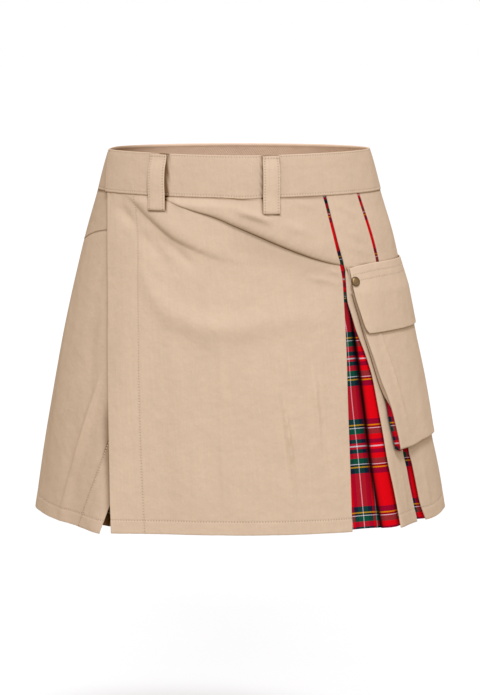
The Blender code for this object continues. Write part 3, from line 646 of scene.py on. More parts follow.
def close_cloth(bearing, drop, low, share, columns, rows, thickness, relief=None, sewn_rows=(),
                sewn_columns=(), turned=0.0, hemmed=False, stain=None, firm=1.0):
    """A closed wall over a grid of bearings, drops and inner outs.

    turned is how far the side edges turn in, sewn_rows and sewn_columns are the knots with stitches,
    firm is how hard these are pulled, and the shading function gives the painted shade at each place:
    darker colour in seams, under folds and beside the pieces that lie over the cloth.
    """
    flat = place(bearing, drop, low + thickness)
    left, top = lengths(flat, 1), lengths(flat, 0)
    near = Near(left, left[:, -1:] - left, top, top[-1:] - top, share)
    dark = stain(bearing, drop, near) if stain else 0.0 * drop
    low = low + sway(bearing, drop)
    if relief:
        low = low + relief(bearing, drop, near)
    row_seam = firm * seam_nearness(top, rows, sewn_rows, 0)
    column_seam = firm * seam_nearness(left, columns, sewn_columns, 1)
    low = low - SEW_DEPTH * np.maximum(row_seam, column_seam)
    for side in (near.left, near.right):
        low = low - turned * (1 - ease(0.0, TURNED_REACH, side))
    inward = np.clip(1 - edge_distance(near) / EDGE_ROUND, 0.0, 1.0)
    half = thickness / 2 - 0.36 * thickness * (1 - np.sqrt(1 - inward**2))
    ply = HEM_PLY * (1 - ease(HEM_DEPTH - 0.9, HEM_DEPTH + 0.3, near.bottom)) if hemmed else 0.0
    middle = place(bearing, drop, low + thickness / 2)
    normal = normals(middle)
    outer = middle + normal * MM * (half + ply)[..., None]
    inner = middle - normal * MM * half[..., None]
    return Cloth(bearing, drop, outer, inner, normals(outer), near, columns, rows, dark, row_seam,
                 column_seam)


def edge_distance(near):
    """How far a point of a piece lies from its nearest edge."""
    return np.minimum(np.minimum(near.left, near.right), np.minimum(near.top, near.bottom))


def shell_faces(rows, columns):
    """The quads of a closed shell: the outer grid, the inner grid and the rim between them."""
    i, j = np.meshgrid(np.arange(rows - 1), np.arange(columns - 1), indexing="ij")
    first = (i * columns + j).ravel()
    outer = np.stack([first, first + columns, first + columns + 1, first + 1], axis=1)
    back = rows * columns
    grid = np.arange(back).reshape(rows, columns)
    here = np.concatenate([grid[0], grid[1:, -1], grid[-1, -2::-1], grid[-2:0:-1, 0]])
    after = np.roll(here, -1)
    edge = np.stack([here, after, after + back, here + back], axis=1)
    return np.concatenate([outer, outer[:, ::-1] + back, edge]), len(outer)


def link(name, data, **settings):
    """An object of the scene that holds this data."""
    made = bpy.data.objects.new(name, data)
    for key, value in settings.items():
        setattr(made, key, value)
    bpy.context.scene.collection.objects.link(made)
    return made


def make_piece(name, points, faces, surfaces, uv=None, face_surface=None, sharp=55.0, **marks):
    """One named object that rides on the kilt's body."""
    mesh = bpy.data.meshes.new(name)
    mesh.from_pydata(np.reshape(points, (-1, 3)).tolist(), [], faces)
    for surface in surfaces:
        mesh.materials.append(surface)
    if face_surface is not None:
        mesh.polygons.foreach_set("material_index", np.asarray(face_surface, np.int32))
    if uv is not None:
        layer = mesh.uv_layers.new(name="cloth")
        corners = np.zeros(len(mesh.loops), np.int32)
        mesh.loops.foreach_get("vertex_index", corners)
        layer.data.foreach_set("uv", np.asarray(uv, np.float32).reshape(-1, 2)[corners].ravel())
    for mark, values in marks.items():
        attribute = mesh.attributes.new(mark, "FLOAT", "POINT")
        attribute.data.foreach_set("value", np.asarray(values, np.float32).ravel())
    mesh.shade_smooth()
    mesh.set_sharp_from_angle(angle=math.radians(sharp))
    mesh.update()
    made = link(name, mesh)
    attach(made, "root")
    return made


def dress(node, cloth, surfaces=None, uv=None, threads=(),
          inner_painted_shade=0.0):
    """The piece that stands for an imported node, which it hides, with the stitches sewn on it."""
    surfaces = surfaces or TWILL_FACES
    faces, outer_count = shell_faces(*cloth.bearing.shape)
    if uv is None:
        uv = np.stack([cloth.near.left, -cloth.near.top], axis=-1)
    uv = np.concatenate([uv.reshape(-1, 2)] * 2) * MM
    inside = np.zeros(len(faces), int)
    inside[outer_count:2 * outer_count] = len(surfaces) - 1
    worn = np.exp(-edge_distance(cloth.near) / 1.0)
    marks = {"worn": [worn, worn]}
    # the inner face takes its own painted shade
    for mark, inner in (("dark", inner_painted_shade), ("row_seam", 0.0), ("column_seam", 0.0)):
        marks[mark] = [getattr(cloth, mark) + 0.0 * worn, inner + 0.0 * worn]
    piece = make_piece(f"{node}_cloth", [cloth.outer, cloth.inner], faces.tolist(), surfaces, uv, inside,
                       **marks)
    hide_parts(node)
    "tartan" if tartan_cloth in surfaces else "twill"
    with_pieces = [sew(f"{node}_thread", threads)] if threads else []


# ---------------------------------------------------------------- stitches
def column_line(cloth, knot, *ends):
    return seam_line(cloth, 1, knot, *ends)


def seam_line(cloth, axis, knot, start=0.0, end=1e9):
    """The points, normals and lengths along a row (axis 0) or down a column (axis 1), between two lengths."""
    knots, places = ((cloth.rows, cloth.near.left), (cloth.columns, cloth.near.top))[axis]
    index = nearest(knots, knot)
    points, directions, places = (np.take(grid, index, axis) for grid in (cloth.outer, cloth.normal, places))
    keep = (places >= start) & (places <= end)
    return points[keep], directions[keep], places[keep]


def row_line(cloth, knot, *ends):
    return seam_line(cloth, 0, knot, *ends)


RING_SIDES = 6
RING_PLACES = np.array([0.0, 0.22, 0.78, 1.0])
RING_HEIGHTS = np.array([-0.12, 0.13, 0.13, -0.12])
RING_SIZES = np.array([0.55, 1.0, 1.0, 0.55])


def ring_faces(rings, sides):
    """The quads between rings of points with this many sides."""
    quads = []
    for ring in range(rings - 1):
        for side in range(sides):
            here, after = ring * sides + side, ring * sides + (side + 1) % sides
            quads.append((here, here + sides, after + sides, after))
    return quads


def stitch_points(points, directions, run):
    """The rings of all stitches along a line, a pitch apart and midway between its needle holes."""
    first = math.ceil(run[0] / STITCH_PITCH)
    count = math.floor(run[-1] / STITCH_PITCH) - first
    starts = (first + np.arange(count) + 0.5) * STITCH_PITCH - STITCH_LENGTH / 2
    places = starts[:, None] + RING_PLACES[None, :] * STITCH_LENGTH

    def at(values):
        return np.stack([np.interp(places, run, values[:, axis]) for axis in range(3)], axis=-1)

    def unit(vectors):
        return vectors / np.linalg.norm(vectors, axis=-1, keepdims=True)

    centres = at(points)
    ups = unit(at(directions))
    sides = np.cross(unit(centres[:, -1:] - centres[:, :1]), ups)
    centres = centres + ups * (MM * RING_HEIGHTS)[None, :, None]
    angles = (np.arange(RING_SIDES) * 2 * np.pi / RING_SIDES)[None, None, :, None]
    spokes = sides[:, :, None, :] * np.cos(angles) + ups[:, :, None, :] * (0.8 * np.sin(angles))
    sizes = (MM * STITCH_RADIUS * RING_SIZES)[None, :, None, None]
    return (centres[:, :, None, :] + spokes * sizes).reshape(count, -1, 3)


def sew(name, threads):
    """All stitches of a piece as one joined mesh."""
    stitches = np.concatenate([stitch_points(*thread) for thread in threads if len(thread[0]) > 2])
    rings = len(RING_PLACES)
    last = (rings - 1) * RING_SIDES
    quads = ring_faces(rings, RING_SIDES)
    for cap in ((0, 1, 2, 3), (0, 3, 4, 5)):
        quads += [cap, tuple(last + side for side in reversed(cap))]
    firsts = np.arange(len(stitches)) * rings * RING_SIDES
    faces = (np.array(quads)[None] + firsts[:, None, None]).reshape(-1, 4)
    places = np.tile(np.repeat(RING_PLACES * STITCH_LENGTH, RING_SIDES), len(stitches))
    turns = np.tile(np.arange(RING_SIDES) / RING_SIDES, rings * len(stitches))
    uv = np.stack([places, turns], axis=1) * MM
    piece = make_piece(name, stitches, faces.tolist(), [thread_finish], uv)
    return piece


# ---------------------------------------------------------------- materials
class Graph:
    """The nodes of a material or a world, with short names for the ones that are used most."""

    def __init__(self, name, kind="materials", surface="Principled BSDF"):
        self.owner = getattr(bpy.data, kind).new(name)
        self.owner.use_nodes = True
        self.tree = self.owner.node_tree
        self.surface = self.tree.nodes[surface]

    def add(self, kind, inputs=None, **settings):
        made = self.tree.nodes.new("ShaderNode" + kind)
        for key, value in settings.items():
            setattr(made, key, value)
        for key, value in (inputs or {}).items():
            self.put(made.inputs[key], value)
        return made

    def put(self, socket, value):
        if isinstance(value, bpy.types.NodeSocket):
            self.tree.links.new(value, socket)
        else:
            socket.default_value = value

    def math(self, operation, a, b=0.0, c=0.0):
        return self.add("Math", {0: a, 1: b, 2: c}, operation=operation).outputs[0]

    def times(self, a, b):
        return self.math("MULTIPLY", a, b)

    def total(self, *parts):
        return functools.reduce(lambda a, b: self.math("ADD", a, b), parts)

    def wave(self, place, length, operation="SINE"):
        return self.math(operation, self.times(place, 2 * math.pi / length))

    def vector(self, operation, a, b):
        return self.add("VectorMath", {0: a, 1: b}, operation=operation).outputs[0]

    def scaled(self, vector, by):
        return self.add("VectorMath", {0: vector, "Scale": by}, operation="SCALE").outputs[0]

    def joined(self, *parts):
        return self.add("CombineXYZ", dict(enumerate(parts))).outputs[0]

    def mark(self, name):
        return self.add("Attribute", attribute_name=name).outputs["Fac"]

    def where(self):
        """The place on the object, in millimetres."""
        return self.scaled(self.add("TexCoord").outputs["Object"], 1000.0)

    def on_cloth(self):
        """The place on the flat cloth, in millimetres, and its part across and its part along."""
        cloth = self.scaled(self.add("UVMap", uv_map="cloth").outputs[0], 1000.0)
        parts = self.add("SeparateXYZ", {0: cloth}).outputs
        return cloth, parts[0], parts[1]

    def noise(self, vector, scale=1.0, detail=2.0, roughness=0.5):
        inputs = {"Vector": vector, "Scale": scale, "Detail": detail, "Roughness": roughness}
        return self.add("TexNoise", inputs).outputs["Fac"]

    def yarn(self, vector, across, along, detail=2.0, deep=1.0):
        """Noise that is stretched another way in each direction."""
        return self.noise(self.vector("MULTIPLY", vector, (across, along, deep)), detail=detail)

    def remap(self, value, low, high, new_low, new_high):
        inputs = {"Value": value, "From Min": low, "From Max": high, "To Min": new_low, "To Max": new_high}
        return self.add("MapRange", inputs).outputs["Result"]

    def spread(self, noise, low, high):
        """The middle part of a noise, spread from low to high."""
        return self.remap(noise, 0.3, 0.7, low, high)

    def mixed(self, share, a, b):
        return self.add("Mix", {0: share, 6: a, 7: b}, data_type="RGBA").outputs[2]

    def bump(self, height, distance, strength=1.0, normal=None):
        made = self.add("Bump", {"Height": height, "Distance": distance, "Strength": strength})
        if normal is not None:
            self.put(made.inputs["Normal"], normal)
        return made.outputs["Normal"]

    def finish(self, colour, roughness, normal, **constants):
        inputs = {"Base_Color": colour, "Roughness": roughness, "Normal": normal, **constants}
        for key, value in inputs.items():
            self.put(self.surface.inputs[key.replace("_", " ")], value)
        return self.owner


def rgba(colour):
    return (*colour, 1.0)


def twill_finish(name, colour, rib=0.0):
    """Cotton twill: diagonal wales, slubs in the yarn, slow mottling, paler worn edges, and painted shade."""
    g = Graph(name)
    cloth, u, v = g.on_cloth()
    where = g.where()
    wale = g.wave(g.total(u, v), WALE_PITCH)
    slub = g.yarn(cloth, 1.1, 0.16)
    weft = g.yarn(cloth, 0.2, 1.3)
    streak = g.yarn(cloth, 0.35, 0.012, 3.0)
    mottle = g.noise(where, 0.034, 3.0, 0.55)
    crumple = g.noise(where, 0.075, 3.0)
    shade = g.total(
        g.spread(mottle, 0.98, 1.02), g.spread(slub, -0.02, 0.02), g.spread(weft, -0.015, 0.015),
        g.spread(streak, -0.018, 0.018), g.times(wale, 0.012), g.times(g.mark("worn"), 0.05),
    )
    # Painted shade: the dark mark, with the grooves and needle holes of the rows of stitches
    dark = g.mark("dark")
    for mark, run in (("row_seam", u), ("column_seam", v)):
        hole = g.math("POWER", g.math("MAXIMUM", g.wave(run, STITCH_PITCH, "COSINE"), 0.0), 1.5)
        dark = g.math("MULTIPLY_ADD", g.mark(mark), g.math("MULTIPLY_ADD", hole, HOLE_PAINTED_SHADE, SEW_PAINTED_SHADE), dark)
    dark = g.math("MINIMUM", dark, DARK_MOST)
    left = g.remap(dark, DEEP_FROM, DEEP_TO, 1.0, DEEP_LEFT)
    base = g.joined(*(
        g.times(g.math("MULTIPLY_ADD", dark, -warmth, 1.0), g.times(left, part))
        for warmth, part in zip(SHADE_WARMTH, colour)
    ))
    height = g.total(g.times(wale, 0.35), g.total(slub, weft))
    if rib:
        ribs = g.wave(u, rib)
        shade = g.total(shade, g.times(ribs, 0.03))
        height = g.total(height, g.times(ribs, 1.5))
    normal = g.bump(height, 0.00010, 0.6, g.bump(crumple, 0.0022, 0.45))
    return g.finish(g.scaled(base, shade), g.spread(slub, 0.84, 0.93), normal, Specular_IOR_Level=0.06)


def chart_ramp(g, chart, position):
    """A chart's colour at a place along the yarns' repeat."""
    node = g.add("ValToRGB", {"Fac": g.math("DIVIDE", g.math("PINGPONG", position, HALF_SETT), HALF_SETT)})
    ramp = node.color_ramp
    ramp.interpolation = "CONSTANT"
    total = sum(threads for threads, _ in chart)
    done = 0
    for threads, colour in chart:
        element = ramp.elements.new(done / total) if done else ramp.elements[0]
        element.position = done / total
        element.color = rgba(DYES[colour])
        done += threads
    ramp.elements.remove(ramp.elements[-1])
    return node.outputs["Color"]


def tartan_finish(name):
    """Tartan woven from the chart both ways: where the colours cross, the twill mixes them."""
    g = Graph(name)
    cloth, u, v = g.on_cloth()
    thread = HALF_SETT / sum(threads for threads, _ in WEFT_CHART)
    warp, weft = chart_ramp(g, WARP_CHART, u), chart_ramp(g, WEFT_CHART, v)
    warp_thread, weft_thread = g.math("DIVIDE", u, thread), g.math("DIVIDE", v, thread)
    step = g.total(g.math("FLOOR", warp_thread), g.math("FLOOR", weft_thread))
    over = g.math("LESS_THAN", g.math("FLOORED_MODULO", step, 4.0), 2.0)
    share = g.remap(over, 0.0, 1.0, WARP_SHARE - WEAVE_SHARE, WARP_SHARE + WEAVE_SHARE)
    colour = g.mixed(share, weft, warp)
    red = g.add("SeparateXYZ", {0: colour}).outputs[0]
    red_hides = g.joined(0.0, g.times(red, 0.07), g.times(red, 0.02))
    colour = g.vector("MAXIMUM", g.vector("SUBTRACT", colour, red_hides), (0.0, 0.0, 0.0))
    slub = g.yarn(cloth, 1.3, 0.3)
    # painted shade from the dark mark
    shade = g.times(g.spread(slub, 0.93, 1.07), g.math("SUBTRACT", 1.0, g.mark("dark")))
    wale = g.wave(g.total(warp_thread, weft_thread), 4.0)
    normal = g.bump(g.total(g.times(wale, 0.6), slub), 0.00012, 0.7)
    return g.finish(g.scaled(colour, shade), g.spread(slub, 0.80, 0.92), normal, Specular_IOR_Level=0.08)


def thread_material():
    """Sewing thread with a twist."""
    g = Graph("thread")
    _, u, v = g.on_cloth()
    twist = g.math("SINE", g.times(g.total(u, v), 12.0))
    shade = g.total(g.spread(g.noise(g.where(), 0.2), 0.93, 1.07), g.times(twist, 0.08))
    return g.finish(g.scaled(g.joined(*THREAD), shade), 0.6, g.bump(twist, 0.00005), Sheen_Weight=0.1)


def brass_material():
    """Antique brass: dark in patches and toward the rim, bright where it is rubbed."""
    g = Graph("antique_brass")
    where = g.where()
    scratch = g.yarn(where, 0.6, 0.6, 3.0, 5.0)
    share = g.times(g.remap(g.noise(where, 0.55, 4.0, 0.6), 0.35, 0.65, 0.55, 1.0), g.mark("rubbed"))
    colour = g.mixed(share, rgba(BRASS_DARK), rgba(BRASS_BRIGHT))
    return g.finish(colour, g.spread(scratch, 0.34, 0.52), g.bump(scratch, 0.00006), Metallic=1.0)


def floor_material():
    """A plain pale floor."""
    g = Graph("floor")
    grain = g.noise(g.add("TexCoord").outputs["Object"], 6.0, 3.0)
    return g.finish(g.joined(*[g.spread(grain, 0.955, 0.965)] * 3), 0.9, g.bump(grain, 0.0002))


twill_outside = twill_finish("twill_outside", TAN)
twill_inside = twill_finish("twill_inside", TAN_INSIDE)
# The band's inside, a lighter copy of the twill as painted light
band_inside_painted_light = twill_finish("band_inside_painted_light", TAN_BAND_INSIDE_PAINTED_LIGHT, rib=2.6)
tartan_cloth = tartan_finish("tartan_cloth")
thread_finish = thread_material()
brass_finish = brass_material()
TWILL_FACES = [twill_outside, twill_inside]


# ---------------------------------------------------------------- waistband
def band_out(bearing):
    """The inner face's out: the band slips inward behind the right side, to pass under its own start."""
    return mix(0.0, -BAND_WALL - LAYER, ease(BAND_TUCK_START, BAND_TUCKED, bearing))


def make_waistband():
    """One strip, from its over-end on the wearer's right, all round, and on under that end."""
    top_stitch = 2.2
    bottom_stitch = 2.6
    end_stitch = 3.0

    def start(drop):
        return BAND_OVER_END + BAND_END_LEAN * drop / BAND_WIDTH

    def top(bearing):
        return waist_dip(bearing) + BAND_UNDER_LOWER * ease(BAND_TUCKED - 20.0, BAND_TUCKED, bearing)

    def relief(bearing, drop, near):
        puff = 0.35 * np.sin(np.pi * np.clip((near.top - top_stitch) / (BAND_WIDTH - 5), 0, 1)) ** 0.7
        wave = 0.35 * np.sin(near.left / 23.0 + 1.2 * np.sin(near.left / 61.0)) * puff
        return puff + wave + puckered(near.bottom, near.left) + puckered(near.top, near.left, 0.12)

    # Painted shade beside the over-end, where the band's under end lies in its shadow, and round the loops
    def stain(bearing, drop, near):
        over_end = beside(lambda drop: start(drop) + 360.0, bearing, drop, 9.0)
        return 0.035 + 0.30 * over_end + beside_loops(bearing, drop)

    cloth = lay_cloth(
        [start, lambda drop: walk(start(drop), end_stitch, drop), level(BAND_UNDER_END)],
        [top, lambda b: top(b) + top_stitch, raised(band_bottom, bottom_stitch), band_bottom],
        knots(3.0, end_stitch, 1010.0), knots(2.4, top_stitch, BAND_WIDTH - 5, bottom_stitch),
        lambda bearing, drop, share: band_out(bearing), BAND_WALL - 0.35, relief,
        sewn_rows=(1, 2), sewn_columns=(1,), stain=stain,
    )
    threads = [row_line(cloth, 1, 3.0), row_line(cloth, 2, 3.0), column_line(cloth, 1, 2.0, 43.0)]
    # Painted shade on the band's inside, where the wrap closes
    corner = BAND_CORNER_PAINTED_SHADE * ease(*BAND_CORNER, cloth.bearing)
    dress("waistband", cloth, [twill_outside, band_inside_painted_light], threads=threads,
          inner_painted_shade=corner)


# ---------------------------------------------------------------- aprons
def make_front_apron():
    """The over-apron. One of its rows follows the main fold's line, so that its edge is crisp."""

    def fold_line(bearing):
        return np.maximum(MAIN_FOLD.drop(bearing), band_bottom(bearing) + 5.0)

    def relief(bearing, drop, near):
        below = below_band(bearing, drop)
        facing = 0.25 * (1 - ease(0.0, 1.0, near.share * 2 - 1.0))
        return (
            apron_out(bearing, drop) + creased(APRON_CREASES, bearing, drop)
            + puckered(below, near.left, 0.25, 6.0, 13.0) + puckered(near.bottom, near.left, 0.15)
            + facing * ease(HEM_DEPTH, HEM_DEPTH + 20, near.bottom)
        )

    # Painted shade: under the band and its middle, round the loops, below the main fold, on the fold lines,
    # and a little over the upper part toward the wearer's left
    def stain(bearing, drop, near):
        middle = (0.03 + 0.09 * bell((bearing + 4.0) / 13.0)) * bell(below_band(bearing, drop) / 8.0)
        shade = under_band(bearing, drop) + beside_loops(bearing, drop) + middle
        below_main = drop - MAIN_FOLD.drop(bearing)
        bulge = np.minimum(MAIN_FOLD.height(bearing), 4.0) / 4.0
        shade = shade + 0.05 * bulge * bell((below_main - 13.0) / 12.0)
        shade = shade + 0.06 * ease(-15.0, 10.0, bearing) * (1 - ease(110.0, 150.0, drop))
        for fold in FOLD_SHADES:
            above = fold.rows.drop(bearing) - drop
            height = fold.rows.height(bearing)
            line = fold.line * np.minimum(height, 4.0) * bell(above / 0.9)
            shade = shade + line + fold.soft * height * bell((above - fold.lift) / fold.reach)
        return shade

    cloth = lay_cloth(
        [APRON_RIGHT_EDGE.bearing, FACING_SEAM.bearing, APRON_LEFT_EDGE.bearing],
        [panel_top, fold_line, raised(APRON_HEM.drop, HEM_DEPTH), APRON_HEM.drop],
        knots(2.0, 38.0, 232.0), knots(1.9, 40.0, 300.0, HEM_DEPTH),
        0.35, TWILL - 0.35, relief,
        sewn_rows=(2,), sewn_columns=(1,), turned=0.35, hemmed=True, stain=stain,
    )
    threads = [column_line(cloth, 1, 6.0, 352.0), row_line(cloth, 2, 36.0, 276.0)]
    dress("front_apron", cloth, threads=threads)


def make_under_apron():
    """The inner end of the wrap, which hangs free of the over-apron toward the hem."""
    top_out = RIGHT_OUT - LAYER - TWILL

    def out(bearing, drop, share):
        hem_out = mix(UNDER_HANG_RIGHT, UNDER_HANG_LEFT, ease(-50.0, 5.0, bearing))
        return mix(top_out, hem_out, (drop / HEM) ** 1.5)

    def shaded(bearing, drop, near):
        # Painted shade behind the over-apron's edge, with painted light on the part that shows beside it near
        # the hem
        from_edge = before(APRON_RIGHT_EDGE.bearing, bearing, drop)
        behind = np.maximum(from_edge - UNDER_EDGE_SEEN, 0.0)
        lit = bell(behind / mix(0.6, 5.0, ease(378.0, 397.0, drop)), 4)
        dark = UNDER_PAINTED_SHADE * bell(from_edge / UNDER_SHADE_REACH, 4) * ease(300.0, 350.0, drop)
        return dark * (1 - UNDER_PAINTED_LIGHT * lit)

    bottom = level(HEM - UNDER_SHORTER)
    cloth = lay_cloth(
        [UNDER_APRON_RIGHT_EDGE.bearing, UNDER_APRON_LEFT_EDGE.bearing],
        [lambda b: band_bottom(b) + SEAM, raised(bottom, HEM_DEPTH), bottom],
        knots(5.0, 210.0), knots(5.0, 338.0, HEM_DEPTH), out, 1.1,
        lambda bearing, drop, near: 0.6 * np.sin(near.left / 19.0) * ease(150, 390, drop),
        sewn_rows=(1,), hemmed=True, stain=shaded,
    )
    dress("under_apron", cloth,
          threads=[row_line(cloth, 1)])


# ---------------------------------------------------------------- wearer's right side
def make_right_side():
    """The yoke, the panel under it, and the strip in front of the felled seam."""
    seam, yoke, right_hem, strip_hem = FELLED_SEAM.bearing, YOKE_SEAM.drop, RIGHT_HEM.drop, STRIP_HEM.drop
    apron_edge = APRON_RIGHT_EDGE.bearing
    back_edge = level(BACK_RIGHT - 360.0)
    seam_lap, strip_stitch, thin = 6.0, 2.2, TWILL - 0.4

    def lapped(drop):
        return walk(seam(drop), seam_lap, drop)

    def creases(bearing, drop, near):
        return creased(RIGHT_CREASES, bearing, drop)

    def under_yoke(bearing, drop, near):
        lap = 0.75 * (1 - ease(TUCK - 0.4, TUCK + 1.6, near.top))
        lap = lap + 0.75 * (1 - ease(seam_lap - 0.4, seam_lap + 1.6, near.right))
        return creases(bearing, drop, near) - lap + puckered(near.bottom, near.left, 0.15)

    def over_yoke(bearing, drop, near):
        return 0.4 * np.exp(-near.bottom / 2.5) + creases(bearing, drop, near)

    # Painted shade under the over-apron's right edge, beside the felled seam and under the band
    def shaded(bearing, drop, near):
        gap = before(apron_edge, bearing, drop)
        reach = mix(9.5, 5.5, ease(300.0, 372.0, drop))
        deep = 0.50 * bell(np.maximum(gap, 0.0) / reach, 3) * (gap > -2.0)
        narrow = 0.42 * beside(apron_edge, bearing, drop, 2.4)
        under_apron = mix(narrow, deep, ease(255.0, 290.0, drop))
        under_apron = 0.03 + under_apron + 0.07 * beside(apron_edge, bearing, drop, 9.0)
        under_strip = 0.14 * beside(seam, bearing, drop, 0.8) * (near.right > 2.0)
        return under_band(bearing, drop) + under_apron + under_strip

    # The panel also takes painted shade along the yoke's lower edge
    def panel_shaded(bearing, drop, near):
        return shaded(bearing, drop, near) + 0.45 * bell((near.top - TUCK) / 0.9)

    def felled(bearing, drop, near):
        ridge = 0.55 * (1 - ease(6.5, 9.0, near.left))
        return ridge + puckered(near.left, near.top, 0.2) + puckered(near.bottom, near.left, 0.15)

    # The yoke has a little more painted shade all over
    cloth = lay_cloth(
        [back_edge, lapped], [panel_top, yoke], knots(4.0, 230.0), knots(3.0, 50.0), RIGHT_OUT, thin,
        over_yoke, stain=lambda *where: 0.07 + shaded(*where),
    )
    dress("side_yoke_right", cloth)
    cloth = lay_cloth(
        [back_edge, lapped],
        [raised(yoke, TUCK), raised(right_hem, HEM_DEPTH), right_hem],
        knots(2.6, 330.0), knots(2.8, 290.0, HEM_DEPTH), RIGHT_OUT, thin, under_yoke,
        sewn_rows=(1,), hemmed=True, stain=panel_shaded,
    )
    dress("side_panel_right", cloth,
          threads=[row_line(cloth, 1, 4.0)])
    cloth = lay_cloth(
        [seam, lambda drop: walk(seam(drop), strip_stitch, drop), STRIP_EDGE.bearing],
        [panel_top, raised(strip_hem, HEM_DEPTH), strip_hem],
        knots(2.6, strip_stitch, 40.0), knots(2.8, 342.0, HEM_DEPTH), RIGHT_OUT, thin, felled,
        sewn_rows=(1,), sewn_columns=(1,), hemmed=True, stain=shaded,
    )
    dress("side_strip_right", cloth,
          threads=[column_line(cloth, 1, 5.0), row_line(cloth, 1, 3.0)])


# ---------------------------------------------------------------- pleats
def back_gap(drop):
    """The space between the back's pleat faces."""
    return mix(GAP_WAIST, GAP_HEM, (drop / HEM) ** 1.3)


def back_face(drop):
    """The width of a back pleat's face."""
    whole = ring_length(BACK_RIGHT, drop) - ring_length(BACK_LEFT, drop)
    return (whole - (BACK_PLEATS + 1) * back_gap(drop)) / BACK_PLEATS


def gap_edge(number, drop, after):
    """The bearing before or after one of the back's gaps, counted from 0."""
    distance = number * (back_gap(drop) + back_face(drop)) + (back_gap(drop) if after else 0.0)
    return walk(BACK_LEFT + 0.0 * drop, distance, drop)


def pleat_lift(drop):
    """How far a back pleat's leading edge stands out."""
    return PLEAT_LIFT * (drop / HEM) ** 2


def make_pleat_face(node, start, end, bottom, width, base, creases, step=2.4):
    """A face of a pleat or a side panel, with pressed edges and a turned-up hem."""

    def relief(bearing, drop, near):
        return (
            creased(creases, bearing, drop) + puckered(below_band(bearing, drop), near.left, 0.2, 6.0)
            + puckered(near.bottom, near.left, 0.15)
            + FLAP_NOTCH_DEEP * creased(FLAP_NOTCH, bearing + 0.7, drop)
        )

    # Painted shade under and beside the pocket, along the flap's top edge, in the flap's notch, under the
    # band, and a little more toward the hem
    def stain(bearing, drop, near):
        in_pocket = (bearing < POCKET_BACK_EDGE) & (bearing > POCKET_FRONT_EDGE.bearing(drop))
        below = drop - POCKET_BOTTOM.drop(bearing)
        shade = 0.15 * np.exp(-np.maximum(below, 0.0) / 1.5) * in_pocket * (below > -6)
        lower = ease(240, 270, drop)
        wide = beside(POCKET_FRONT_EDGE.bearing, bearing, drop, 2.0 + 1.8 * lower)
        beside_pocket = 0.48 * beside(POCKET_FRONT_EDGE.bearing, bearing, drop, 0.9)
        beside_pocket = beside_pocket + mix(0.16, 0.28, lower) * wide
        above_bottom = (drop > POCKET_TOP) & (drop < POCKET_LOW + 2)
        above_flap = FLAP_TOP.drop(bearing) - drop
        on_flap = (bearing > FLAP_FRONT) & (bearing < POCKET_BACK_EDGE + 1)
        flap_line = 0.35 * bell(above_flap / 0.8) * on_flap
        notch = FLAP_NOTCH_PAINTED_SHADE * creased(FLAP_NOTCH, bearing, drop)
        shade = np.maximum(shade, beside_pocket * above_bottom) + notch
        return 0.025 + 0.03 * ease(300.0, 340.0, drop) + under_band(bearing, drop) + shade + flap_line

    cloth = lay_cloth(
        [start, end], [panel_top, raised(bottom, HEM_DEPTH), bottom],
        knots(step, width), knots(step * 1.1, 340.0, HEM_DEPTH), base, TWILL - 0.3, relief,
        sewn_rows=(1,), turned=0.5, hemmed=True, stain=stain,
    )
    dress(node, cloth,
          threads=[row_line(cloth, 1, 1.5, cloth.near.left[-1, -1] - 1.5)])


def make_pleat_faces():
    """The front pleat face, the panel under the pocket, and the faces of the back."""
    flat = 0.3
    left_hem = LEFT_HEM.drop
    make_pleat_face("pleat_face_front", FACE_FRONT_EDGE.bearing, FACE_BACK_EDGE.bearing, left_hem, 42.0,
                    flat, LEFT_CREASES, 2.0)
    make_pleat_face("side_panel_left", SIDE_LEFT_EDGE.bearing, level(BACK_LEFT), left_hem, 150.0,
                    flat, LEFT_CREASES)
    for number in range(BACK_PLEATS):
        make_pleat_face(
            f"pleat_back_{number + 1}",
            lambda drop, n=number: gap_edge(n, drop, True),
            lambda drop, n=number: gap_edge(n + 1, drop, False),
            level(HEM), 60.0, lambda bearing, drop, share: 0.3 + pleat_lift(drop) * (1 - share),
            BACK_CREASES, 3.0,
        )


def sett_height(cloth_drop):
    """Where a drop lies along the sett, with the cloth sitting lower in the slits at the top."""
    return (cloth_drop - SETT_WHITE_DROP - SLIT_SHIFTS.lower(cloth_drop)) * 1.011


def slit_shade(drop):
    """The painted shade in the depth of the slits, darkest at drop 134, where it hides a white line of the
    sett.
    """
    return SLIT_SHADES.dark(drop)


def in_slit(out, across_slit, drop):
    """An out that the cloth leaves at the top, where it pushes up into a slit: 0.5 is the slit's edge."""
    share = bell(across_slit / SLIT_SPREAD, 4) * (1 - ease(SLIT_RAISE_FROM, SLIT_RAISE_TO, drop))
    return mix(out, SLIT_OUT, share)


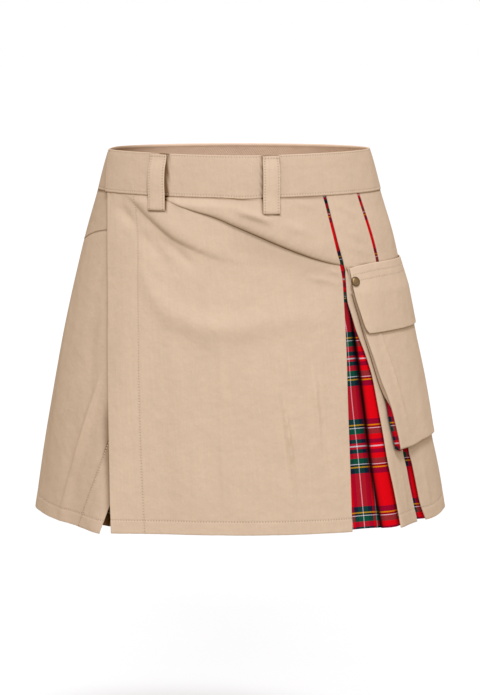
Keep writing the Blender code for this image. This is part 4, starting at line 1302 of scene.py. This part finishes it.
def make_inset(number, start, end, lift_start, lift_end, first_thread):
    """A tartan inset behind a gap, folded inward along its middle."""

    def from_edge(drop):
        return walk(start(drop), -INSET_LAP, drop)

    def to_edge(drop):
        return walk(end(drop), INSET_LAP, drop)

    def out(bearing, drop, share):
        fold = INSET_FOLD * (drop / HEM) ** 1.2 * (1 - np.abs(2 * share - 1))
        lift = mix(lift_start(drop), lift_end(drop), share)
        gap = ring_length(end(drop), drop) - ring_length(start(drop), drop)
        slit = (share - 0.5) * (gap + 2 * INSET_LAP) / gap
        return in_slit(lift - fold - LAYER - TARTAN, slit, drop)

    def shaded(bearing, drop, near):
        # Painted shade in the inset: in the fold's depth, at the second slit's end above the flap, and at the
        # slits' tops
        deep = 0.75 * np.exp(-((near.share - 0.55) / 0.16) ** 2)
        if number == 2:
            deep = 0.65 * (1 - ease(0.58, 0.74, near.share))
        end = SLIT_END_PAINTED_SHADE * ease(*SLIT_END, drop) * (1 - ease(140.0, 150.0, drop)) if number == 2 else 0.0
        top = np.minimum(0.14 + 0.6 * slit_shade(drop), 0.42) * (1 - ease(180.0, 260.0, drop))
        return deep * ease(180.0, 300.0, drop) + np.maximum(top, end)

    cloth = lay_cloth(
        [from_edge, to_edge], [lambda b: band_bottom(b) + SEAM, level(HEM + TARTAN_LOWER)],
        np.linspace(0.0, 1.0, 33), knots(4.0, 355.0), out, TARTAN - 0.3, stain=shaded,
    )
    turn = first_thread(cloth.drop) + cloth.near.left - INSET_LAP
    uv = np.stack([turn, sett_height(cloth.drop)], axis=-1)
    dress(f"tartan_inset_{number}", cloth, [tartan_cloth], uv)


def make_insets():
    """The insets behind the second slit and behind each gap of the back."""

    def lap_before(drop):
        return pleat_lift(drop) * INSET_LAP / back_face(drop)

    def lap_after(drop):
        return pleat_lift(drop) * (1 - INSET_LAP / back_face(drop))

    flat = level(0.0)
    make_inset(2, FACE_BACK_EDGE.bearing, SIDE_LEFT_EDGE.bearing, flat, flat,
               lambda drop: mix(33.0, 10.5, ease(150.0, 330.0, drop)))
    for number in range(BACK_PLEATS + 1):
        make_inset(
            number + 3,
            lambda drop, n=number: gap_edge(n, drop, False),
            lambda drop, n=number: gap_edge(n, drop, True),
            lap_before if number else flat, lap_after if number < BACK_PLEATS else level(RIGHT_OUT),
            level(5.0 + 37.0 * number),
        )


Bend = namedtuple("Bend", "line along out")
FRONT_INSET_BENDS = [
    Bend("apron", -12.0, -1.5), Bend("apron", 1.0, -1.9), Bend("fold", -3.5, -5.0),
    Bend("fold", 7.0, -5.2), Bend("fold", 8.3, -4.3), Bend("fold", 7.0, -3.4),
    Bend("fold", 1.0, -3.3), Bend("fold", -0.4, -2.4), Bend("fold", 1.0, -1.5),
    Bend("face", 11.0, -1.5),
]
FRONT_INSET_DEPTH = 4.0
BEND_PARTS = 5                  # points from one bend to the next
# Painted shade in the slits, by drop
SLIT_SHADES = Table("drop dark",
    (46, 0.50), (62, 0.45), (76, 0.20), (98, 0.24), (104, 0.42), (118, 0.44), (122, 0.42), (130, 0.42),
    (134, 0.66), (138, 0.44), (144, 0.44), (148, 0.42), (156, 0.42), (160, 0.20), (190, 0.0), (400, 0.0),
)
SLIT_END = (104.0, 112.0)       # drops over which painted shade darkens the second slit, above the flap
SLIT_END_PAINTED_SHADE = 0.45
SLIT_OUT = 0.2                  # where the tartan lies in a slit at its top
SLIT_SPREAD = 0.62
SLIT_RAISE_FROM = 165.0
SLIT_RAISE_TO = 215.0
FOLD_SHADE = 0.985              # painted shade just under the upper layer's edge
FOLD_SHADE_REACH = 3.3
FOLD_EDGE_SHADE = 0.95          # painted shade on the upper layer's edge
FOLD_EDGE_REACH = 1.3
FOLD_SOFT_SHADE = 0.45          # painted shade further under it
FOLD_SOFT_REACH = 4.5


def make_front_inset():
    """The first inset: a strip with a Z-fold, whose upper layer opens from the pleat face downward."""
    lines = {"apron": APRON_LEFT_EDGE.bearing, "fold": TARTAN_FOLD.bearing, "face": FACE_FRONT_EDGE.bearing}
    top = float(max(band_bottom(36.0), band_bottom(52.0))) + SEAM
    rows = np.linspace(0.0, 1.0, 130)
    drop = mix(top, HEM + TARTAN_LOWER, rows)
    sink = FRONT_INSET_DEPTH * (drop / HEM) ** 1.5
    columns = np.linspace(0, len(FRONT_INSET_BENDS) - 1, (len(FRONT_INSET_BENDS) - 1) * BEND_PARTS + 1)
    along, out = [], []
    for bend in FRONT_INSET_BENDS:
        along.append(ring_length(walk(lines[bend.line](drop), bend.along, drop), drop))
        out.append(bend.out - sink)
    along = smooth_through(along, columns)
    out = smooth_through(out, columns)
    drops = drop[:, None] + 0.0 * along
    edges = [ring_length(lines[name](drops), drops) for name in ("apron", "face")]
    slit = (along - (edges[0] + edges[1]) / 2) / (edges[1] - edges[0])
    bearing = walk(0.0 * drops, along - ring_length(0.0 * drops, drops), drops)
    thickness = TARTAN - 0.3
    # Painted shade under the Z-fold's upper layer and on its edge
    before_fold = ring_length(lines["fold"](drops), drops) - along
    gap = np.maximum(before_fold, 0.0)
    under_fold = (FOLD_SHADE - FOLD_SOFT_SHADE) * bell(gap / FOLD_SHADE_REACH, 4)
    under_fold = under_fold + FOLD_SOFT_SHADE * np.exp(-gap / FOLD_SOFT_REACH)
    under_fold = under_fold * mix(1.0, 0.75, ease(300.0, 390.0, drops)) * (columns < BEND_PARTS)
    past_fold = np.maximum(-before_fold + 0.4, 0.0)
    on_edge = FOLD_EDGE_SHADE * bell(past_fold / FOLD_EDGE_REACH) * (columns >= BEND_PARTS)
    under_fold = (under_fold + on_edge) * ease(148.0, 160.0, drops)
    low = in_slit(out - thickness / 2, slit, drops)
    cloth = close_cloth(bearing, drops, low, 0.0, columns, rows, thickness,
                        stain=lambda *where: under_fold + slit_shade(drops))
    from_white = along[:, BEND_PARTS] - ring_length(TARTAN_WHITE.bearing(drop), drop)
    across_white = cloth.near.left - cloth.near.left[:, BEND_PARTS:BEND_PARTS + 1] + from_white[:, None]
    uv = np.stack([across_white, sett_height(drops)], axis=-1)
    dress("tartan_inset_1", cloth, [tartan_cloth], uv)


def smooth_through(values, places):
    """Smooth curves through evenly spaced columns of values, at finer places."""
    values = np.stack(values, 1)
    return np.stack([curve(np.arange(len(row)).astype(float), row, places) for row in values])


# ---------------------------------------------------------------- belt loops
def loop_out(bearing, drop, share):
    """A loop's inner face: on the band at its top, bowed for the belt, then sewn to the skirt below."""
    on_band = BAND_WALL + band_out(np.where(bearing > 90, bearing % 360.0, bearing))
    carried = np.where(np.abs(bearing) < 60, np.maximum(apron_out(bearing, LOOP_BOTTOM), 0.0), 0.0)
    on_skirt = TWILL + carried + LOOP_END_OUT
    bowed = on_band + LOOP_BOW.out(drop)
    return mix(bowed, on_skirt, ease(LOOP_SEWN_FROM, LOOP_SEWN_TO, drop))


def make_belt_loops():
    """Strips of even width that hang straight down over the band."""
    edge_stitch = 1.9
    for loop in BELT_LOOPS:
        def line(side, loop=loop):
            return lambda drop: walk(mix(loop.top, loop.bottom, drop / LOOP_BOTTOM), side, drop)

        def top(bearing):
            return LOOP_TOP + waist_dip(bearing)

        half = loop.width / 2
        cloth = lay_cloth(
            [line(-half), line(edge_stitch - half), line(half - edge_stitch), line(half)],
            [top, lambda b: top(b) + 2.4, level(loop.end - 2.2), level(loop.end)],
            knots(1.6, edge_stitch, loop.width - 2 * edge_stitch, edge_stitch),
            knots(1.8, 2.4, 56.0, 2.2),
            loop_out, LOOP_WALL,
            lambda bearing, drop, near: 0.25 * np.sin(np.pi * near.share) - 0.5 * np.exp(-near.bottom / 1.2),
            sewn_rows=(1,), sewn_columns=(1, 2),
            # painted shade on the loop's turned-in end
            stain=lambda bearing, drop, near: LOOP_TURNED_PAINTED_SHADE * bell(near.bottom / LOOP_TURNED_REACH),
        )
        threads = [column_line(cloth, 1, 2.0, 57.0), column_line(cloth, 2, 2.0, 57.0), row_line(cloth, 1)]
        dress(f"belt_loop_{loop.number}", cloth,
              threads=threads)


# ---------------------------------------------------------------- cargo pocket
def pocket_out(bearing, drop):
    """The pocket front's inner face."""
    share = ease(POCKET_TOP, POCKET_LOW, drop)
    return mix(POCKET_STANDS.top(bearing), POCKET_STANDS.bottom(bearing), share)


def flange_depth(drop):
    """How far the pocket front's front edge is turned in, down to where the gusset comes out."""
    full = np.clip(pocket_out(POCKET_FRONT_EDGE.bearing(drop), drop) - 2.2, FLANGE_LEAST, 5.0)
    return mix(full, FLANGE_LEAST, ease(*FLANGE_ENDS, drop))


def make_pocket_front():
    """The pocket's front, which stands off most at its lower front corner, with its edge turned in."""
    edge = POCKET_FRONT_EDGE.bearing
    bottom = POCKET_BOTTOM.drop
    columns = knots(2.2, 6.0, 165.0)
    rows = knots(2.2, 166.0)
    drop = POCKET_TOP + rows[:, None] * 165.0 + 0.0 * columns
    for _ in range(5):
        start = edge(drop)
        width = ring_length(POCKET_BACK_EDGE, drop) - ring_length(start, drop)
        run = between([-flange_depth(drop), 0.0, width], columns[None, :])
        corner = np.hypot(run, FLANGE_ROUND)
        bearing = walk(start, (run + corner - FLANGE_ROUND) / 2, drop)
        drop = between([POCKET_TOP, bottom(bearing)], rows[:, None])
    low = pocket_out(bearing, drop) + (run - corner) / 2

    def relief(bearing, drop, near):
        return creased(POCKET_CREASES, bearing, drop) * ease(0.5, 4.0, run) - 1.4 * (
            1 - ease(0.0, 1.1, near.bottom))

    # Painted shade under the flap, before its front edge, and on the pocket's turned-in front edge
    below_flap = np.maximum(drop - FLAP_BOTTOM.drop(bearing), 0.0)
    under_flap = 0.40 * np.exp(-below_flap / 1.3)
    before_flap = beside(FLAP_FRONT_EDGE.bearing, bearing, drop, 1.0) * (drop < FLAP_LOW)
    under_flap = np.maximum(under_flap, 0.45 * before_flap)
    turned_in = 0.10 * (1 - ease(-1.2, 0.2, run)) + 0.46 * bell((run + 0.7) / 0.6)
    cloth = close_cloth(bearing, drop, low, 0.0, columns, rows, TWILL - 0.3, relief,
                        stain=lambda *where: np.maximum(turned_in, under_flap))
    dress("pocket_front", cloth)


def flap_out(bearing, drop):
    """The flap's inner face: sewn along its top, then lying over the pocket front."""
    over_pocket = pocket_out(bearing, np.maximum(drop, POCKET_TOP)) + TWILL + LAYER
    top = FLAP_TOP.drop(bearing)
    return mix(FLAP_SEWN_OUT, over_pocket, np.minimum((drop - top) / (POCKET_TOP - top), 1.0))


def make_pocket_flap():
    """The flap, with its lower front corner rounded and two rows of stitches under its top edge."""
    front_edge = FLAP_FRONT_EDGE.bearing
    corner_top, corner_start = 188.0, 180.0
    first_row, second_row = 8.0, 15.0

    def bottom(bearing):
        corner = walk(front_edge(corner_top), FLAP_CORNER, corner_top)
        rounding = FLAP_CORNER * (1 - ease(front_edge(corner_start), corner, bearing))
        return FLAP_BOTTOM.drop(bearing) - rounding

    top = FLAP_TOP.drop
    cloth = lay_cloth(
        [front_edge, level(POCKET_BACK_EDGE + 1.0)],
        [top, lambda b: top(b) + first_row, lambda b: top(b) + second_row, bottom],
        knots(2.2, 165.0), knots(2.0, first_row, second_row - first_row, 55.0),
        lambda bearing, drop, share: flap_out(bearing, drop), TWILL - 0.2,
        lambda bearing, drop, near: creased(FLAP_CREASES, bearing, drop)
        + puckered(np.abs(near.top - first_row), near.left, 0.15),
        sewn_rows=(1, 2), turned=0.4, firm=0.7,
    )
    threads = [row_line(cloth, 1, 10.0), row_line(cloth, 2, 18.0)]
    dress("pocket_flap", cloth, threads=threads)


def make_pocket_gusset():
    """The pocket's side wall, down its front edge and along its bottom, bulged toward the apron."""
    path = []
    bottom_drop = POCKET_LOW
    for drop in np.linspace(GUSSET_TOP, bottom_drop - GUSSET_CORNER, 40):
        edge = POCKET_FRONT_EDGE.bearing(drop)
        inset = mix(GUSSET_HIDDEN, GUSSET_INSET, ease(GUSSET_OUT_FROM, GUSSET_OUT_TO, drop))
        path.append((walk(edge, inset, drop), drop, -1.0, 0.0))
    corner_bearing = POCKET_FRONT_EDGE.bearing(bottom_drop)
    for turn in np.radians(np.arange(7.5, 90.0, 7.5)):
        drop = bottom_drop - GUSSET_INSET - GUSSET_CORNER * (1 - math.sin(turn))
        distance = GUSSET_INSET + GUSSET_CORNER * (1 - math.cos(turn))
        path.append((walk(corner_bearing, distance, drop), drop, -math.cos(turn), math.sin(turn)))
    first = walk(corner_bearing, GUSSET_CORNER + GUSSET_INSET, bottom_drop)
    for bearing in np.linspace(float(first), POCKET_BACK_EDGE - 8.0, 50):
        path.append((bearing, POCKET_BOTTOM.drop(bearing) - GUSSET_INSET, 0.0, 1.0))
    bearing, drop, side_round, side_down = (np.array(column, float)[:, None] for column in zip(*path))
    height = np.linspace(0.0, 1.0, 13)[None, :]
    low = TWILL + LAYER
    high = np.maximum(pocket_out(bearing, drop) - LAYER / 2, low + 0.6)
    come_out = np.where(side_down > 0, 1.0, ease(GUSSET_OUT_FROM, GUSSET_OUT_TO, drop))
    bulge = GUSSET_BULGE * np.sin(np.pi * height) * np.minimum(1.0, (high - low) / 6.0) * come_out
    bulge = bulge * (1 - ease(58.6, 61.0, bearing))
    moved_drop = drop + side_down * bulge
    moved = walk(bearing + 0.0 * moved_drop, side_round * bulge, moved_drop)
    # Painted shade on the gusset: deepest at its edges and over its upper part, under the pocket's edge
    shade = 0.15 + 0.50 * np.abs(2 * height - 1) ** 3 + 0.35 * (1 - ease(262.0, 285.0, moved_drop))
    thickness = TARTAN - 0.3
    cloth = close_cloth(moved, moved_drop, mix(low, high, height) - thickness / 2, 0.0, height[0],
                        np.arange(len(path)), thickness, stain=lambda *where: shade)
    uv = np.stack([cloth.near.left + GUSSET_THREAD, sett_height(moved_drop) + 1.5], axis=-1)
    dress("pocket_gusset", cloth, [tartan_cloth], uv)


def make_snap():
    """The press stud's cap: a turned dome with a rolled rim, its axis square to the flap."""

    def on_flap(turned, lower):
        bearing, drop = SNAP_BEARING + turned, SNAP_DROP + lower
        return place(bearing, drop, flap_out(bearing, drop) + TWILL + SNAP_SEAT)

    def unit(vector):
        return vector / np.linalg.norm(vector)

    centre = on_flap(0, 0)
    right = on_flap(1, 0) - on_flap(-1, 0)
    axis = unit(np.cross(on_flap(0, 3) - on_flap(0, -3), right))
    right = unit(right)
    third = np.cross(axis, right)
    points, rubbed = [], []
    for turn in SNAP_PROFILE[:-1]:
        for side in range(SNAP_SIDES):
            angle = 2 * math.pi * side / SNAP_SIDES
            spoke = right * math.cos(angle) + third * math.sin(angle)
            points.append(centre + MM * (spoke * turn.radius + axis * turn.height))
            rubbed.append(0.1 if 4.7 < turn.radius < 5.05 else 1.0 - 0.8 * (turn.radius / 5.3) ** 2)
    points.append(centre + MM * axis * SNAP_PROFILE[-1].height)
    rubbed.append(1.0)
    rings = len(SNAP_PROFILE) - 1
    last = (rings - 1) * SNAP_SIDES
    faces = [tuple(reversed(range(SNAP_SIDES)))]
    faces += [(quad[0], *quad[:0:-1]) for quad in ring_faces(rings, SNAP_SIDES)]
    faces += [(last + side, last + (side + 1) % SNAP_SIDES, len(points) - 1) for side in range(SNAP_SIDES)]
    piece = make_piece("snap_cap_metal", points, faces, [brass_finish], sharp=50.0, rubbed=rubbed)
    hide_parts("snap_cap")


# ---------------------------------------------------------------- stage
def add_sun(name, strength, size, azimuth, elevation):
    """A soft light from a direction: azimuth 0 is in front of the kilt and grows toward +X."""
    light = bpy.data.lights.new(name, "SUN")
    light.energy = strength
    light.angle = math.radians(size)
    light.color = SUN_COLOUR
    link(name, light, rotation_euler=(math.radians(90 - elevation), 0.0, math.radians(azimuth)))


def make_stage():
    """A plain pale floor, soft light and the camera."""
    half = FLOOR_SIZE / 2
    corners = [(x, y, -FLOOR_DEPTH) for x, y in ((-half, -half), (half, -half), (half, half), (-half, half))]
    mesh = bpy.data.meshes.new("floor")
    mesh.from_pydata(corners, [], [(0, 1, 2, 3)])
    mesh.materials.append(floor_material())
    link("floor", mesh, visible_diffuse=False)

    world = Graph("studio", "worlds", "Background")
    seen = world.add("LightPath").outputs["Is Camera Ray"]
    world.put(world.surface.inputs["Color"], world.mixed(seen, rgba(AROUND_COLOUR), rgba((1.0, 1.0, 1.0))))
    world.put(world.surface.inputs["Strength"], world.remap(seen, 0.0, 1.0, AROUND_STRENGTH, 1.0))
    bpy.context.scene.world = world.owner
    add_sun("key", 1.75, 16.0, 14.0, 66.0)
    add_sun("fill", 0.64, 30.0, 0.0, 25.0)
    bpy.context.scene.view_settings.view_transform = "Standard"

    camera = bpy.data.cameras.new("camera")
    camera.lens = FOCAL_PIXELS / PHOTO_HEIGHT * SENSOR
    camera.sensor_width = SENSOR
    bpy.context.scene.camera = link(
        "camera", camera, location=(0.0, -CAMERA_AWAY, CAMERA_ABOVE_WAIST + MM * ORIGIN_DROP),
        rotation_euler=(math.radians(90 - CAMERA_PITCH), 0.0, 0.0),
    )


make_waistband()
make_front_apron()
make_under_apron()
make_right_side()
make_pleat_faces()
make_front_inset()
make_insets()
make_belt_loops()
make_pocket_front()
make_pocket_gusset()
make_pocket_flap()
make_snap()
make_stage()

bpy.context.view_layer.update()
